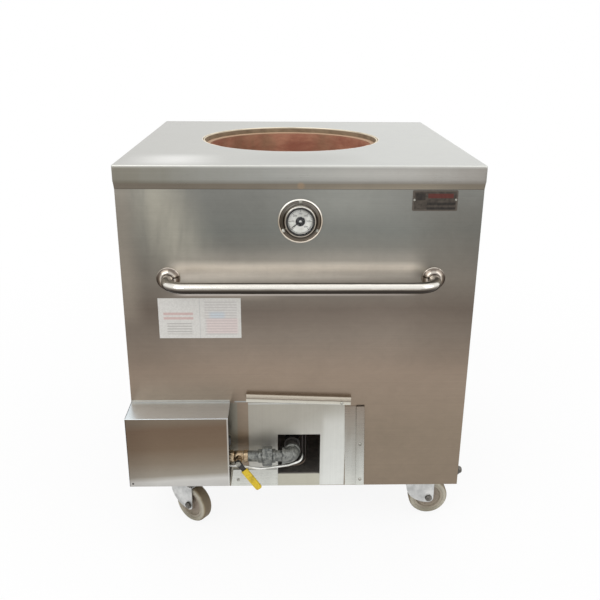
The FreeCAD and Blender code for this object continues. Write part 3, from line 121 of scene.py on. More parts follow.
def rounded(corners, radius, steps=5):
    # a closed outline whose corners are arcs tangent to both sides: centre + r (cos, sin)
    corners = np.asarray(corners, float)
    radius = np.broadcast_to(np.asarray(radius, float), (len(corners),))
    before, after = np.roll(corners, 1, 0) - corners, np.roll(corners, -1, 0) - corners
    toBefore = before / np.linalg.norm(before, axis=1, keepdims=True)
    toAfter = after / np.linalg.norm(after, axis=1, keepdims=True)
    half = np.arccos(np.clip((toBefore * toAfter).sum(1), -1, 1)) / 2
    trim = radius / np.tan(half)
    start, end = corners + toBefore * trim[:, None], corners + toAfter * trim[:, None]
    middle = toBefore + toAfter
    middle /= np.maximum(np.linalg.norm(middle, axis=1, keepdims=True), 1e-9)
    centre = corners + middle * (radius / np.sin(half))[:, None]
    share = np.linspace(0, 1, steps)[None, :, None]
    sweep = (math.pi / 2 - half)[:, None, None] * 2
    fromCentre, toCentre = start - centre, end - centre
    down = np.sin(sweep)
    safe = np.where(down < 1e-6, 1, down)
    bow = (np.sin((1 - share) * sweep) * fromCentre[:, None]
           + np.sin(share * sweep) * toCentre[:, None]) / safe
    flat = start[:, None] * (1 - share) + end[:, None] * share - centre[:, None]
    arcs = centre[:, None] + np.where((down < 1e-6) | (radius[:, None, None] < 1e-6), flat, bow)
    return arcs.reshape(-1, 2)


def turns(count):
    # even angles right round, as one row
    return np.linspace(0, 2 * math.pi, count, endpoint=False)[None, :]


def turnedGrid(profile, centre, axis, sides=72, flats=None):
    # radius(turn, along) = the profile's radius, but no more than a polygon's side where flats are cut:
    # apothem / cos(angle from the middle of the flat)
    profile = np.asarray(profile, float)
    turn = turns(sides)
    radial = np.repeat(profile[:, :1], sides, 1)
    if flats:
        step = 2 * math.pi / flats["count"]
        offset = (turn + flats.get("turn", 0)) % step - step / 2
        radial = np.minimum(radial, flats["apothem"] / np.cos(offset))
    return {"points": alongAxis(axis, centre, radial, turn, profile[:, 1:]), "wrapColumns": True}


def closedTurn(profile, centre, axis, sides=72):
    # a ring-shaped section carried right round, with no open edge
    return {**turnedGrid(profile, centre, axis, sides), "wrapRows": True}


nutCut = {"rim": 0.9, "chamfer": 0.06}


def hexNut(centre, axis, low, high, corner, bore=0.0, count=6, turn=0.0):
    # a prism with its corners chamfered by a cone at both ends, by shares of the corner's radius
    rim, deep = corner * nutCut["rim"], corner * nutCut["chamfer"]
    profile = [(bore, low), (rim, low), (corner, low + deep), (corner, high - deep), (rim, high),
               (bore, high)]
    flats = {"count": count, "apothem": corner * math.cos(math.pi / count), "turn": turn}
    return turnedGrid(profile, centre, axis, 12 * count, flats)


def threads(low, high, radius, pitch=1.8, deep=0.5):
    # radius + depth times a wave along the length
    along = np.linspace(low, high, max(6, int((high - low) / pitch * 6)))
    wave = np.abs(((along - low) / pitch) % 1 - 0.5) * 2
    return [(0, low)] + list(zip(radius - deep * wave, along)) + [(0, high)]


def tubeGrid(path, radius, sides=28, reference=(0, 0, 1)):
    # circles square to a path: path + radius (cos side + sin up), up being the reference less its
    # part along the path
    path = np.asarray(path, float)
    along = np.gradient(path, axis=0)
    along /= np.linalg.norm(along, axis=1, keepdims=True)
    up = np.asarray(reference, float) - along * (along @ np.asarray(reference, float))[:, None]
    up /= np.linalg.norm(up, axis=1, keepdims=True)
    side = np.cross(along, up)
    turn = turns(sides)[:, :, None]
    radius = np.broadcast_to(np.asarray(radius, float), (len(path),))[:, None, None]
    ring = radius * (np.cos(turn) * side[:, None] + np.sin(turn) * up[:, None])
    return {"points": path[:, None] + ring, "wrapColumns": True, "caps": True}


def bentPath(corners, radii, steps=14):
    # straight runs joined by arcs tangent to both, worked out corner by corner
    corners = [np.asarray(c, float) for c in corners]
    route = [corners[0][None]]
    for before, corner, after, radius in zip(corners, corners[1:], corners[2:], radii):
        one, two = before - corner, after - corner
        one, two = one / np.linalg.norm(one), two / np.linalg.norm(two)
        half = math.acos(np.clip(one @ two, -1, 1)) / 2
        middle = (one + two) / np.linalg.norm(one + two)
        centre = corner + middle * radius / math.sin(half)
        reach = radius / math.tan(half)
        first, last = corner + one * reach - centre, corner + two * reach - centre
        sweep = math.pi - 2 * half
        share = np.linspace(0, 1, steps)[:, None]
        arc = np.sin((1 - share) * sweep) * first + np.sin(share * sweep) * last
        route.append(centre + arc / math.sin(sweep))
    route.append(corners[-1][None])
    return np.concatenate(route)


def denser(path, gap):
    # the same line with points no further apart than the gap, and the distance walked to each
    path = np.asarray(path, float)
    walked = np.concatenate([[0], np.cumsum(np.linalg.norm(np.diff(path, axis=0), axis=1))])
    even = np.linspace(0, walked[-1], int(walked[-1] / gap) + 2)
    stops = np.unique(np.round(np.union1d(walked, even), 4))
    return np.stack([np.interp(stops, walked, path[:, k]) for k in range(3)], 1), stops


def extruded(outline, low, high, plane, slices=2):
    # a closed outline of (across, up) pairs carried straight from low to high
    outline = np.asarray(outline, float)
    level = np.linspace(low, high, slices)[:, None]
    across, up = outline[None, :, 0] + 0 * level, outline[None, :, 1] + 0 * level
    level = level + 0 * across
    order = {"x": (level, across, up), "y": (across, level, up), "z": (across, up, level)}
    return {"points": np.stack(order[plane], -1), "wrapColumns": True, "caps": True}


def moved(grid, place=(0, 0, 0), axis="y", degrees=0.0):
    # a grid turned about an axis through the origin and then shifted
    spin = np.array(Matrix.Rotation(math.radians(degrees), 3, axis.upper()))
    return {**grid, "points": grid["points"] @ spin.T + np.asarray(place, float)}


def gridPiece(name, grids, slotName, stands=(), sharp=32.0, body="cabinet", finish=None):
    return finishMesh(name, *joinGrids(grids), slotName, stands, sharp, body, finish)


class Flow:
    # a number or colour on its way through a material; plain arithmetic adds Math nodes
    def __init__(self, tree, socket=None):
        self.tree = tree
        self.socket = socket

    def node(self, kind, settings=None, inputs=None, output=0):
        made = self.tree.nodes.new(kind)
        for key, value in (settings or {}).items():
            if key == "stops":
                ramp = made.color_ramp
                while len(ramp.elements) < len(value):
                    ramp.elements.new(0.5)
                for element, (place, *colour) in zip(ramp.elements, value):
                    element.position = place
                    element.color = (*tone(*colour), 1)
            else:
                setattr(made, key, value)
        for key, value in (inputs or {}).items():
            if isinstance(value, Flow):
                self.tree.links.new(value.socket, made.inputs[key])
            else:
                made.inputs[key].default_value = value
        return Flow(self.tree, made.outputs[output])

    def math(self, operation, first, second=0.0):
        return self.node("ShaderNodeMath", {"operation": operation}, {0: first, 1: second})

    def __add__(self, other):
        return self.math("ADD", self, other)

    def __radd__(self, other):
        return self.math("ADD", other, self)

    def __sub__(self, other):
        return self.math("SUBTRACT", self, other)

    def __rsub__(self, other):
        return self.math("SUBTRACT", other, self)

    def __mul__(self, other):
        return self.math("MULTIPLY", self, other)

    def __rmul__(self, other):
        return self.math("MULTIPLY", other, self)

    def __truediv__(self, other):
        return self.math("DIVIDE", self, other)

    def __abs__(self):
        return self.math("ABSOLUTE", self)

    def clamped(self):
        return self.node("ShaderNodeClamp", {}, {0: self})

    def between(self, low, high):
        # a soft step from 0 at the low value to 1 at the high one
        return self.node("ShaderNodeMapRange", {"interpolation_type": "SMOOTHSTEP"},
                         {0: self, 1: low, 2: high})

    def window(self, low, high, soft):
        # 1 between two values, with soft ends
        return self.between(low - soft, low + soft) * (1 - self.between(high - soft, high + soft))


def tone(red, green, blue):
    # a display colour of 0 to 255 as the linear values that a shader wants
    shares = np.array([red, green, blue]) / 255
    return tuple(np.where(shares <= 0.04045, shares / 12.92, ((shares + 0.055) / 1.055) ** 2.4).tolist())


def newFinish(name, **fixed):
    # a material whose unvarying sockets are set on the shader itself
    material = bpy.data.materials.new(name)
    material.use_nodes = True
    shader = next(n for n in material.node_tree.nodes if n.type == "BSDF_PRINCIPLED")
    for key, value in fixed.items():
        socket = shader.inputs[key.replace("_", " ")]
        socket.default_value = (*value, 1) if isinstance(value, tuple) and len(value) == 3 else value
    return material, Flow(material.node_tree), shader


def feed(flow, shader, **varying):
    for key, value in varying.items():
        flow.tree.links.new(value.socket, shader.inputs[key.replace("_", " ")])


def noise(flow, scale, detail=3.0, rough=0.5, twist=0.0, stretch=(1, 1, 1), shift=(0, 0, 0)):
    # noise over the piece's own coordinates, stretched along each axis and shifted
    raw = flow.node("ShaderNodeTexCoord", output=3)
    place = flow.node("ShaderNodeMapping", {}, {0: raw, 1: shift, 3: stretch})
    return flow.node("ShaderNodeTexNoise", {}, {"Vector": place, "Scale": scale, "Detail": detail,
                                                "Roughness": rough, "Distortion": twist})


def mixed(flow, share, first, second, blend="MIX"):
    first = (*first, 1) if isinstance(first, tuple) and len(first) == 3 else first
    second = (*second, 1) if isinstance(second, tuple) and len(second) == 3 else second
    return flow.node("ShaderNodeMix", {"data_type": "RGBA", "blend_type": blend},
                     {0: share, 6: first, 7: second}, 2)


def blend(flow, share, dark, light):
    return mixed(flow, share, tone(*dark), tone(*light))


def scaled(flow, colour, factors):
    # red, green and blue each times its own factor
    return mixed(flow, 1.0, colour, factors, "MULTIPLY")


def layered(flow, base, *coats):
    # each coat is a share from 0 to 1 and the display colour that it lays over what is below
    for share, colour in coats:
        base = mixed(flow, share, base, tone(*colour))
    return base


def ramp(flow, value, stops):
    # each stop is a place from 0 to 1 and its display colour
    return flow.node("ShaderNodeValToRGB", {"stops": stops}, {0: value.clamped()})


def bumped(flow, height, strength, distance=0.001):
    return flow.node("ShaderNodeBump", {}, {"Strength": strength, "Distance": distance, "Height": height})


def places(flow, axes):
    # the coordinates along the named axes, in millimetres
    raw = flow.node("ShaderNodeTexCoord", output=3)
    return [flow.node("ShaderNodeSeparateXYZ", {}, {0: raw}, "XYZ".index(axis)) * 1000.0 for axis in axes]


def apart(flow, one, two, centre):
    # distance in a plane: the root of both squares added
    one, two = one - centre[0], two - centre[1]
    return flow.math("SQRT", one * one + two * two)


def withinBox(flow, box, axes):
    # how far along a piece's box a point lies, from 0 to 1
    low, high = box
    found = []
    for place, axis in zip(places(flow, axes), axes):
        k = "XYZ".index(axis)
        found.append((place - low[k] / mm) / ((high[k] - low[k]) / mm))
    return found


grainForm = {"long": 3.0, "short": 900.0, "lines": 0.45, "wipes": 0.55, "rub": 0.5,
             "dark": 0.8, "light": 1.2}


def brushed(flow, shader, base, grain="x", metal=0.85, rough=0.32, scuff=0.5, depth=0.06):
    # fine lines along the grain, cloth wipes and rubbed patches lighten and darken the sheet and roughen it
    stretch = [grainForm["long" if axis == grain else "short"] for axis in "xyz"]
    lines = noise(flow, 1.0, 2.0, 0.6, stretch=stretch)
    rub = noise(flow, 9.0, 4.0, 0.65, shift=(5, 2, 8))
    wipes = noise(flow, 22.0, 5.0, 0.7, 1.4, stretch=(1.0, 1.0, 1.7), shift=(2, 7, 4))
    dark, light = (scaled(flow, base, (grainForm[key],) * 3) for key in ("dark", "light"))
    worn = ((lines - 0.5) * grainForm["lines"] + (wipes - 0.5) * grainForm["wipes"] * scuff
            + (rub - 0.5) * grainForm["rub"] * scuff + 0.5)
    feed(flow, shader, Base_Color=mixed(flow, worn, dark, light),
         Roughness=(lines - 0.5) * 0.1 + (rub - 0.5) * 0.16 * scuff + rough,
         Normal=bumped(flow, lines, depth, 0.0004))
    shader.inputs["Metallic"].default_value = metal


def polished(flow, shader, base, marks, rough):
    # a mirror finish that faint marks roughen
    feed(flow, shader, Base_Color=base, Roughness=(marks - 0.5) * 0.1 + rough,
         Normal=bumped(flow, marks, 0.03, 0.0003))


def castMetal(name, dark, light, rough=0.6, metal=0.3, grit=420.0, depth=0.25):
    # sand-cast skin: fine grit on soft lumps, lighter on its high spots
    material, flow, shader = newFinish(name, Metallic=metal)
    fine = noise(flow, grit, 4.0, 0.6)
    lumps = noise(flow, 45.0, 3.0, 0.5)
    wear = noise(flow, 110.0, 5.0, 0.7)
    feed(flow, shader, Base_Color=blend(flow, (wear * 0.6 + lumps * 0.4).between(0.35, 0.68), dark, light),
         Roughness=(lumps - 0.5) * 0.3 + rough,
         Normal=bumped(flow, fine * 0.5 + lumps, depth, 0.0008))
    return material


def smoothMetal(name, dark, light, rough=0.3, metal=1.0, size=60.0):
    # plated or drawn metal with light mottling
    material, flow, shader = newFinish(name, Metallic=metal)
    mottle = noise(flow, size, 4.0, 0.6)
    stain = noise(flow, 18.0, 4.0, 0.65)
    feed(flow, shader, Base_Color=blend(flow, (mottle * 0.5 + stain * 0.5).between(0.32, 0.68), dark, light),
         Roughness=(mottle - 0.5) * 0.2 + (stain - 0.5) * 0.2 + rough,
         Normal=bumped(flow, mottle, 0.08, 0.0004))
    return material


def frontSkin():
    # tone follows height as a painted reflection of the room, with painted shade under the grab bar, darker
    # towards the sides, with warm upright smears at the upper left, a painted reflection of the grab bar over
    # it and a painted reflection line below it, the access seam's edges and a paler patch under the port
    material, flow, shader = newFinish("frontSteel")
    x, z = places(flow, "XZ")
    clouds = noise(flow, 2.6, 3.0, 0.55, 0.6)
    smears = noise(flow, 7.0, 4.0, 0.6, 0.4, stretch=(1.6, 1.6, 0.3), shift=(3.1, 0.7, 1.9))
    # the tone by height is a painted reflection of the room: brown lower down, greyer higher up, with a
    # darker zone of painted shade under the grab bar
    base = ramp(flow, (z - 130) / 757 + (clouds - 0.5) * 0.06, [
        (0.0, 136, 122, 106), (0.22, 138, 124, 108), (0.42, 146, 130, 115), (0.54, 130, 119, 108),
        (0.63, 109, 99, 90), (0.72, 124, 118, 109), (0.88, 110, 111, 106), (0.95, 116, 116, 111),
        (1.0, 120, 120, 115)])
    middle = x.window(20, 190, 60) * z.between(800, 860)
    side = abs(x).between(200, 350) * z.window(448, 860, 45)
    slanted = x + (z - 800) * 0.35
    smear = slanted.window(-350, -235, 60) * z.between(640, 790) * smears.between(0.2, 0.6)
    base = layered(flow, base, (middle * 0.5, (134, 135, 129)), (side * 0.26, (84, 74, 64)),
                   (smear * 0.6, (180, 175, 160)))
    clean = (smears - 0.5) * z.between(560, 760) * 0.6 + 0.42
    duller, brighter = (scaled(flow, base, factors) for factors in ((0.86, 0.86, 0.85), (1.16, 1.16, 1.17)))
    base = mixed(flow, clean, duller, brighter)
    beside = x.window(-172, -150, 2) * z.window(132, 366, 2)
    edge = x.window(-156, -122, 2) * z.window(367.5, 370.5, 0.8)
    left = (1 - x.between(-395, -345)) * z.between(540, 620)
    tilted = z + x * 0.005
    # a pale painted reflection of the grab bar on the panel above it
    barReflectionCore = (1 - tilted.between(704, 728)) * (z - x * 0.03).between(668, 706)
    barReflection = (barReflectionCore * 0.85 + tilted.window(690, 740, 25) * 0.2) * x.window(-285, 272, 26)
    under = z.window(632, 652, 8) * x.window(-290, -60, 50)
    # mirrored: a thin painted reflection of the grab bar just below it
    mirrored = z.window(641, 650, 2) * x.window(-275, 262, 20) * (0.62 - x * 0.0014)
    flange = z.window(370.5, 374, 1) * x.window(-404, -168, 1)
    patch = x.window(-56, 56, 2) * (1 - z.between(166, 170))
    base = layered(flow, base, (beside * 0.6, (132, 134, 124)), (edge * 0.8, (172, 178, 178)),
                   (left * 0.45, (158, 148, 134)), (barReflection * (smears * 0.4 + 0.8), (226, 216, 202)),
                   (under * 0.2, (184, 172, 158)), (mirrored, (180, 172, 164)),
                   (flange * 0.7, (190, 188, 182)), (patch * (smears * 0.3 + 0.75), (190, 188, 174)))
    brushed(flow, shader, base, "x", rough=0.34, scuff=0.85)
    return material


def deckSkin():
    # the top is pale, with a painted highlight patch, a duller patch by the front edge and painted highlights
    # on the hole's edge and the front bend; the skirt is darker at its left end and has painted shade above
    # the fold, and the folded lip below it is browner, with a weld's heat mark in the middle
    material, flow, shader = newFinish("deckSteel")
    x, y, z = places(flow, "XYZ")
    clouds = noise(flow, 3.4, 3.0, 0.55, 0.5)
    drips = noise(flow, 16.0, 3.0, 0.6, stretch=(1, 1, 0.12), shift=(1.3, 4.1, 0))
    sideways = x / 813 + 0.5
    top = ramp(flow, sideways + (clouds - 0.5) * 0.3, [
        (0.0, 176, 175, 169), (0.35, 182, 182, 176), (0.7, 190, 191, 186), (1.0, 194, 195, 190)])
    # a painted highlight patch that stands for a reflection of the room
    paintedSheen = x.window(-345, -215, 65) * y.window(-350, -235, 42)
    duller = x.window(-90, 110, 70) * y.window(-335, -215, 40)
    # rim: a painted highlight round the hole's rounded edge
    rim = 1 - apart(flow, x, y, (cabinet["potX"], cabinet["potY"])).between(237, 239)
    top = layered(flow, top, (paintedSheen * 0.8, (232, 231, 227)), (duller * 0.5, (166, 167, 161)),
                  (rim * 0.8, (226, 216, 196)))
    skirt = ramp(flow, sideways + (drips - 0.5) * 0.3, [
        (0.0, 128, 124, 113), (0.12, 134, 132, 123), (0.4, 145, 145, 140), (0.78, 152, 150, 145),
        (1.0, 144, 140, 134)])
    # the skirt darkens just above the fold to the lip: painted shade in the crease
    skirt = scaled(flow, skirt, mixed(flow, z.between(900, 910), (0.76, 0.73, 0.69), (1.02, 1.02, 1.02)))
    paler = (x / 560 + 0.4 + (drips - 0.5) * 0.6) * (1 - x.between(240, 390) * 0.7)
    fold = blend(flow, paler.clamped(), (112, 104, 93), (133, 125, 111))
    weld = (1 - apart(flow, x, z, (1, 895)).between(4, 11)) * (1 - y.between(-366, -360))
    skirt = layered(flow, mixed(flow, z.between(898.5, 901.5), fold, skirt),
                    (1 - z.between(887.6, 888.6), (60, 54, 48)), (weld * 0.35, (176, 142, 104)))
    # bend: a painted highlight along the front bend of the top
    bend = (1 - y.between(-364.6, -362)) * z.between(932, 939.5)
    base = layered(flow, mixed(flow, z.between(935.6, 938.6), skirt, top), (bend * 0.45, (224, 224, 218)))
    brushed(flow, shader, base, "x", rough=0.3)
    return material


def coverSkin():
    # brown in the upper part, paling downwards to a bright lowest strip, as a painted reflection of the room
    # and floor; the top face and the right edge carry painted highlights
    material, flow, shader = newFinish("coverSteel")
    x, z = places(flow, "XZ")
    clouds = noise(flow, 5.0, 3.0, 0.55, 0.6)
    # the tone by height is a painted reflection: the room in the upper part, the floor in the lowest strip
    base = ramp(flow, (z - 187) / 183 + (clouds - 0.5) * 0.08 - (x + 285) * 0.0003, [
        (0.0, 190, 188, 184), (0.1, 197, 195, 190), (0.18, 150, 143, 131), (0.36, 132, 120, 105),
        (0.58, 115, 98, 81), (0.85, 110, 92, 76), (0.97, 117, 105, 91)])
    left = 1 - x.between(-404, -330)
    base = mixed(flow, left * 0.6, base, scaled(flow, base, (0.74, 0.72, 0.72)))
    screw = 1 - apart(flow, x, z, (-396, 196)).between(1.6, 3.2)
    # painted highlights: a pale line down the right edge and a light top face; the dark dot is a screw
    base = layered(flow, base, (x.between(-170.5, -169) * 0.5, (214, 213, 208)),
                   (z.between(368.4, 369.6), (212, 219, 222)), (screw, (52, 46, 42)))
    brushed(flow, shader, base, "x", rough=0.3)
    return material


def shieldSkin():
    # zinc that pales downwards and to the right, with a painted highlight along its upper edge
    material, flow, shader = newFinish("galvanised")
    x, z = places(flow, "XZ")
    clouds = noise(flow, 9.0, 4.0, 0.6, 0.4)
    base = ramp(flow, (372 - z) / 240 * 0.62 + (x + 124) / 240 * 0.3 + (clouds - 0.5) * 0.12, [
        (0.0, 163, 158, 147), (0.3, 166, 162, 152), (0.6, 196, 196, 190), (0.85, 213, 214, 209)])
    right = x.window(60, 112, 6) * (1 - z.between(300, 350))
    # a painted highlight along the upper edge
    base = layered(flow, base, (right * 0.3, (228, 230, 226)), (z.window(362, 365, 1) * 0.5, (214, 218, 218)))
    brushed(flow, shader, base, "z", metal=0.7, rough=0.4, depth=0.02)
    return material


def railSkin():
    # brownish at its top, paler downwards as a painted reflection of the room, with upright streaks; the top
    # rail's ridges follow its own tilt and carry painted highlights and painted shade
    material, flow, shader = newFinish("railSteel")
    x, z = places(flow, "XZ")
    streaks = noise(flow, 60.0, 3.0, 0.6, stretch=(1, 1, 0.1))
    # the tone by height is a painted reflection: brown above, pale below
    base = ramp(flow, (360 - z) / 228 + (streaks - 0.5) * 0.35, [
        (0.0, 138, 126, 114), (0.35, 152, 147, 138), (0.7, 184, 184, 178), (1.0, 206, 207, 200)])
    climb = (z + (x + 1) * 0.0384 - 368.2) / 21.5
    # fold: painted highlights on the lit bands and the lower edge, painted shade in the crease between them
    fold = ramp(flow, climb + (streaks - 0.5) * 0.06, [
        (0.0, 226, 230, 230), (0.1, 204, 201, 190), (0.38, 198, 193, 180), (0.47, 134, 125, 113),
        (0.55, 138, 128, 116), (0.64, 194, 185, 170), (0.92, 186, 177, 162), (1.0, 150, 138, 124)])
    base = mixed(flow, z.between(360, 363), base, fold)
    brushed(flow, shader, base, "x", metal=0.9, rough=0.28, depth=0.02)
    return material


def panelSkin():
    # plain sheet: colour climbs with height, shifted by soft clouds
    material, flow, shader = newFinish("panelSteel")
    z, = places(flow, "Z")
    clouds = noise(flow, 2.6, 3.0, 0.55, 0.6)
    base = ramp(flow, (z - 130) / 760 + (clouds - 0.5) * 0.3,
                [(0.0, 156, 148, 138), (0.5, 168, 164, 156), (1.0, 162, 161, 155)])
    brushed(flow, shader, base, "y", rough=0.34)
    return material


def barSkin():
    # polished bar: a painted highlight along its upper side and painted shade below, from each point's
    # height on the bar
    material, flow, shader = newFinish("polishedBar", Metallic=1.0)
    z, = places(flow, "Z")
    marks = noise(flow, 6.0, 4.0, 0.7, stretch=(8, 60, 60))
    # the stops paint the highlight on top and the shade underneath
    base = ramp(flow, (z - 670.3) / 25.4 + (marks - 0.5) * 0.08, [
        (0.0, 66, 59, 52), (0.26, 50, 44, 39), (0.4, 66, 60, 54), (0.54, 138, 131, 122),
        (0.66, 230, 227, 219), (0.8, 236, 233, 225), (0.92, 176, 171, 163), (1.0, 128, 123, 117)])
    polished(flow, shader, base, marks, 0.16)
    return material


def dishSkin(name, centres, size, stops):
    # polished rings round one or two centres, read from the distance to the nearer one, painted as
    # reflections and highlights, with painted dark reflections at their left and right flanks and a painted
    # brown reflection in their lower part
    material, flow, shader = newFinish(name, Metallic=1.0)
    x, z = places(flow, "XZ")
    reaches = [apart(flow, x, z, centre) for centre in centres]
    nearest = reaches[0] if len(reaches) == 1 else flow.math("MINIMUM", *reaches)
    height = z - centres[0][1]
    marks = noise(flow, 90.0, 4.0, 0.7)
    # the rings' stops are painted reflections and highlights
    base = ramp(flow, nearest / size + (marks - 0.5) * 0.04, stops)
    # low: a painted brown reflection in the lower part
    low = 1 - (height + size).between(0.5 * size, 1.35 * size)
    base = mixed(flow, low, base, scaled(flow, base, (0.74, 0.69, 0.64)))
    # painted dark reflections at the left and right flanks
    darkFlankReflection = (1 - (abs(height) / size).between(0.1, 0.75)) * nearest.between(0.62 * size, 0.68 * size)
    base = mixed(flow, darkFlankReflection, base, scaled(flow, base, (0.5, 0.46, 0.41)))
    polished(flow, shader, base, marks, 0.14)
    return material


# the stops are painted dark reflections and bright painted highlight rings
gaugeSteel = dishSkin("gaugeSteel", [(0.0, 817.0)], 50.0, [
    (0.0, 60, 57, 54), (0.64, 78, 74, 70), (0.69, 232, 230, 224), (0.75, 150, 147, 141),
    (0.8, 96, 92, 86), (0.91, 118, 112, 104), (0.95, 232, 228, 220), (1.0, 242, 239, 232)])
rosetteSteel = dishSkin("rosetteSteel", [(-298.0, 683.0), (305.0, 683.0)], 27.0, [
    (0.0, 92, 84, 76), (0.5, 120, 110, 101), (0.64, 208, 200, 190), (0.78, 128, 118, 108),
    (0.92, 104, 95, 87), (1.0, 202, 194, 184)])
boltSteel = smoothMetal("boltSteel", (50, 48, 45), (132, 128, 122), rough=0.3, size=80)


def plasticSkin():
    # moulded plastic: even colour, dusty patches and a faint skin texture
    material, flow, shader = newFinish("blackPlastic")
    grain = noise(flow, 700.0, 2.0, 0.5)
    dust = noise(flow, 28.0, 5.0, 0.65)
    feed(flow, shader, Base_Color=blend(flow, dust.between(0.3, 0.75), (16, 16, 16), (36, 35, 34)),
         Roughness=(dust - 0.5) * 0.3 + 0.22, Normal=bumped(flow, grain, 0.1, 0.0004))
    return material


def pointerSkin():
    # glossy black with a painted highlight on the upper half of the screw head at the needle's pivot
    material, flow, shader = newFinish("pointerBlack", Roughness=0.2)
    x, z = places(flow, "XZ")
    worn = noise(flow, 300.0, 3.0, 0.6)
    lit = (z - 817 + (worn - 0.5) * 2).between(-2.4, 1.2)
    # a painted highlight on the lit upper half of the pivot's screw head
    headHighlight = (1 - apart(flow, x, z, (0, 817)).between(2.9, 3.5)) * lit
    black = blend(flow, worn, (14, 14, 14), (34, 33, 32))
    feed(flow, shader, Base_Color=layered(flow, black, (headHighlight, (206, 204, 200))))
    return material


def shadeAndSootSkin(name, dark, light, rough, metal, size):
    # clean in front of the cabinet, darkened from the front panel inwards by painted shade with soot
    material, flow, shader = newFinish(name, Metallic=metal)
    y, = places(flow, "Y")
    mottle = noise(flow, size, 5.0, 0.65)
    fine = noise(flow, 420.0, 4.0, 0.6)
    # inside: painted shade, with soot, from the front panel inwards
    inside = y.between(-372, -356)
    base = layered(flow, blend(flow, mottle.between(0.34, 0.68), dark, light), (inside, (52, 48, 45)))
    feed(flow, shader, Base_Color=base, Roughness=(mottle - 0.5) * 0.25 + inside * 0.2 + rough,
         Normal=bumped(flow, fine * 0.4 + mottle, 0.14, 0.0006))
    return material


def vinylSkin():
    # dipped vinyl with worn, dirtier patches
    material, flow, shader = newFinish("yellowVinyl")
    dirt = noise(flow, 85.0, 5.0, 0.7, 0.6)
    grain = noise(flow, 240.0, 3.0, 0.5)
    base = layered(flow, blend(flow, grain.between(0.3, 0.7), (196, 164, 16), (218, 190, 34)),
                   (dirt.between(0.5, 0.68) * 0.55, (128, 108, 30)))
    feed(flow, shader, Base_Color=base, Roughness=dirt * 0.2 + 0.28,
         Normal=bumped(flow, grain + dirt, 0.2, 0.0005))
    return material


def wheelSkin(name, stops, rough=0.5):
    # colour by the distance from the axle, kept on the mesh as reach, under dust, and darker towards the
    # bottom
    material, flow, shader = newFinish(name)
    reach = flow.node("ShaderNodeAttribute", {"attribute_name": "reach"}, {}, "Fac")
    z, = places(flow, "Z")
    dust = noise(flow, 60.0, 5.0, 0.65)
    base = layered(flow, ramp(flow, reach / 50.8 + (dust - 0.5) * 0.05, stops),
                   (dust.between(0.45, 0.8) * 0.3, (120, 112, 98)))
    # darker towards the bottom
    base = mixed(flow, 1 - z.between(-6, 34), base, scaled(flow, base, (0.5, 0.48, 0.42)))
    feed(flow, shader, Base_Color=base, Roughness=(dust - 0.5) * 0.3 + rough,
         Normal=bumped(flow, dust, 0.15, 0.0006))
    return material


def claySkin():
    # fired clay: red-brown under ash and soot, pale along the rim, hand-smoothed lumps and pinholes
    material, flow, shader = newFinish("firedClay")
    z, = places(flow, "Z")
    lumps = noise(flow, 16.0, 5.0, 0.6, 0.3, stretch=(1, 1, 2.2))
    pits = noise(flow, 190.0, 4.0, 0.7)
    ash = noise(flow, 9.0, 4.0, 0.6, stretch=(1, 1, 0.6), shift=(4, 1, 0))
    base = layered(flow, blend(flow, lumps.between(0.3, 0.7), (176, 116, 94), (208, 154, 126)),
                   (ash.between(0.45, 0.75) * 0.6, (150, 128, 98)),
                   (z.between(921.5, 924.8) * 0.8, (182, 156, 128)))
    feed(flow, shader, Base_Color=base, Roughness=(pits - 0.5) * 0.2 + 0.85,
         Normal=bumped(flow, lumps + pits * 0.25, 0.5, 0.004))
    return material


def collarSkin():
    # packed fibre: grey-brown down its wall as painted shade under the deck's edge, varied by stains,
    # cream on its top edge
    material, flow, shader = newFinish("collarSeal")
    z, = places(flow, "Z")
    fibre = noise(flow, 260.0, 5.0, 0.7, 0.5)
    stain = noise(flow, 20.0, 4.0, 0.6)
    # the wall's grey-brown is painted shade under the deck's edge
    base = layered(flow, blend(flow, stain.between(0.35, 0.75), (150, 132, 108), (118, 100, 80)),
                   (z.between(936.5, 938.5), (228, 216, 192)))
    feed(flow, shader, Base_Color=base, Roughness=fibre * 0.1 + 0.8,
         Normal=bumped(flow, fibre, 0.5, 0.0012))
    return material


def woolSkin():
    # matted fibres, stretched level and twisted
    material, flow, shader = newFinish("mineralWool")
    fibre = noise(flow, 120.0, 6.0, 0.75, 1.2, stretch=(1, 1, 4))
    feed(flow, shader, Base_Color=blend(flow, fibre.between(0.3, 0.7), (168, 158, 120), (214, 206, 170)),
         Roughness=fibre * 0.1 + 0.85, Normal=bumped(flow, fibre, 0.8, 0.004))
    return material


def glassSkin():
    # clear glass with a faint smear, thin enough that the dial shows straight through it
    material, flow, shader = newFinish("gaugeGlass", Transmission_Weight=1.0, IOR=1.05,
                                       Base_Color=(0.97, 0.98, 0.98))
    smear = noise(flow, 60.0, 3.0, 0.6)
    feed(flow, shader, Roughness=smear.between(0.45, 0.8) * 0.04)
    return material


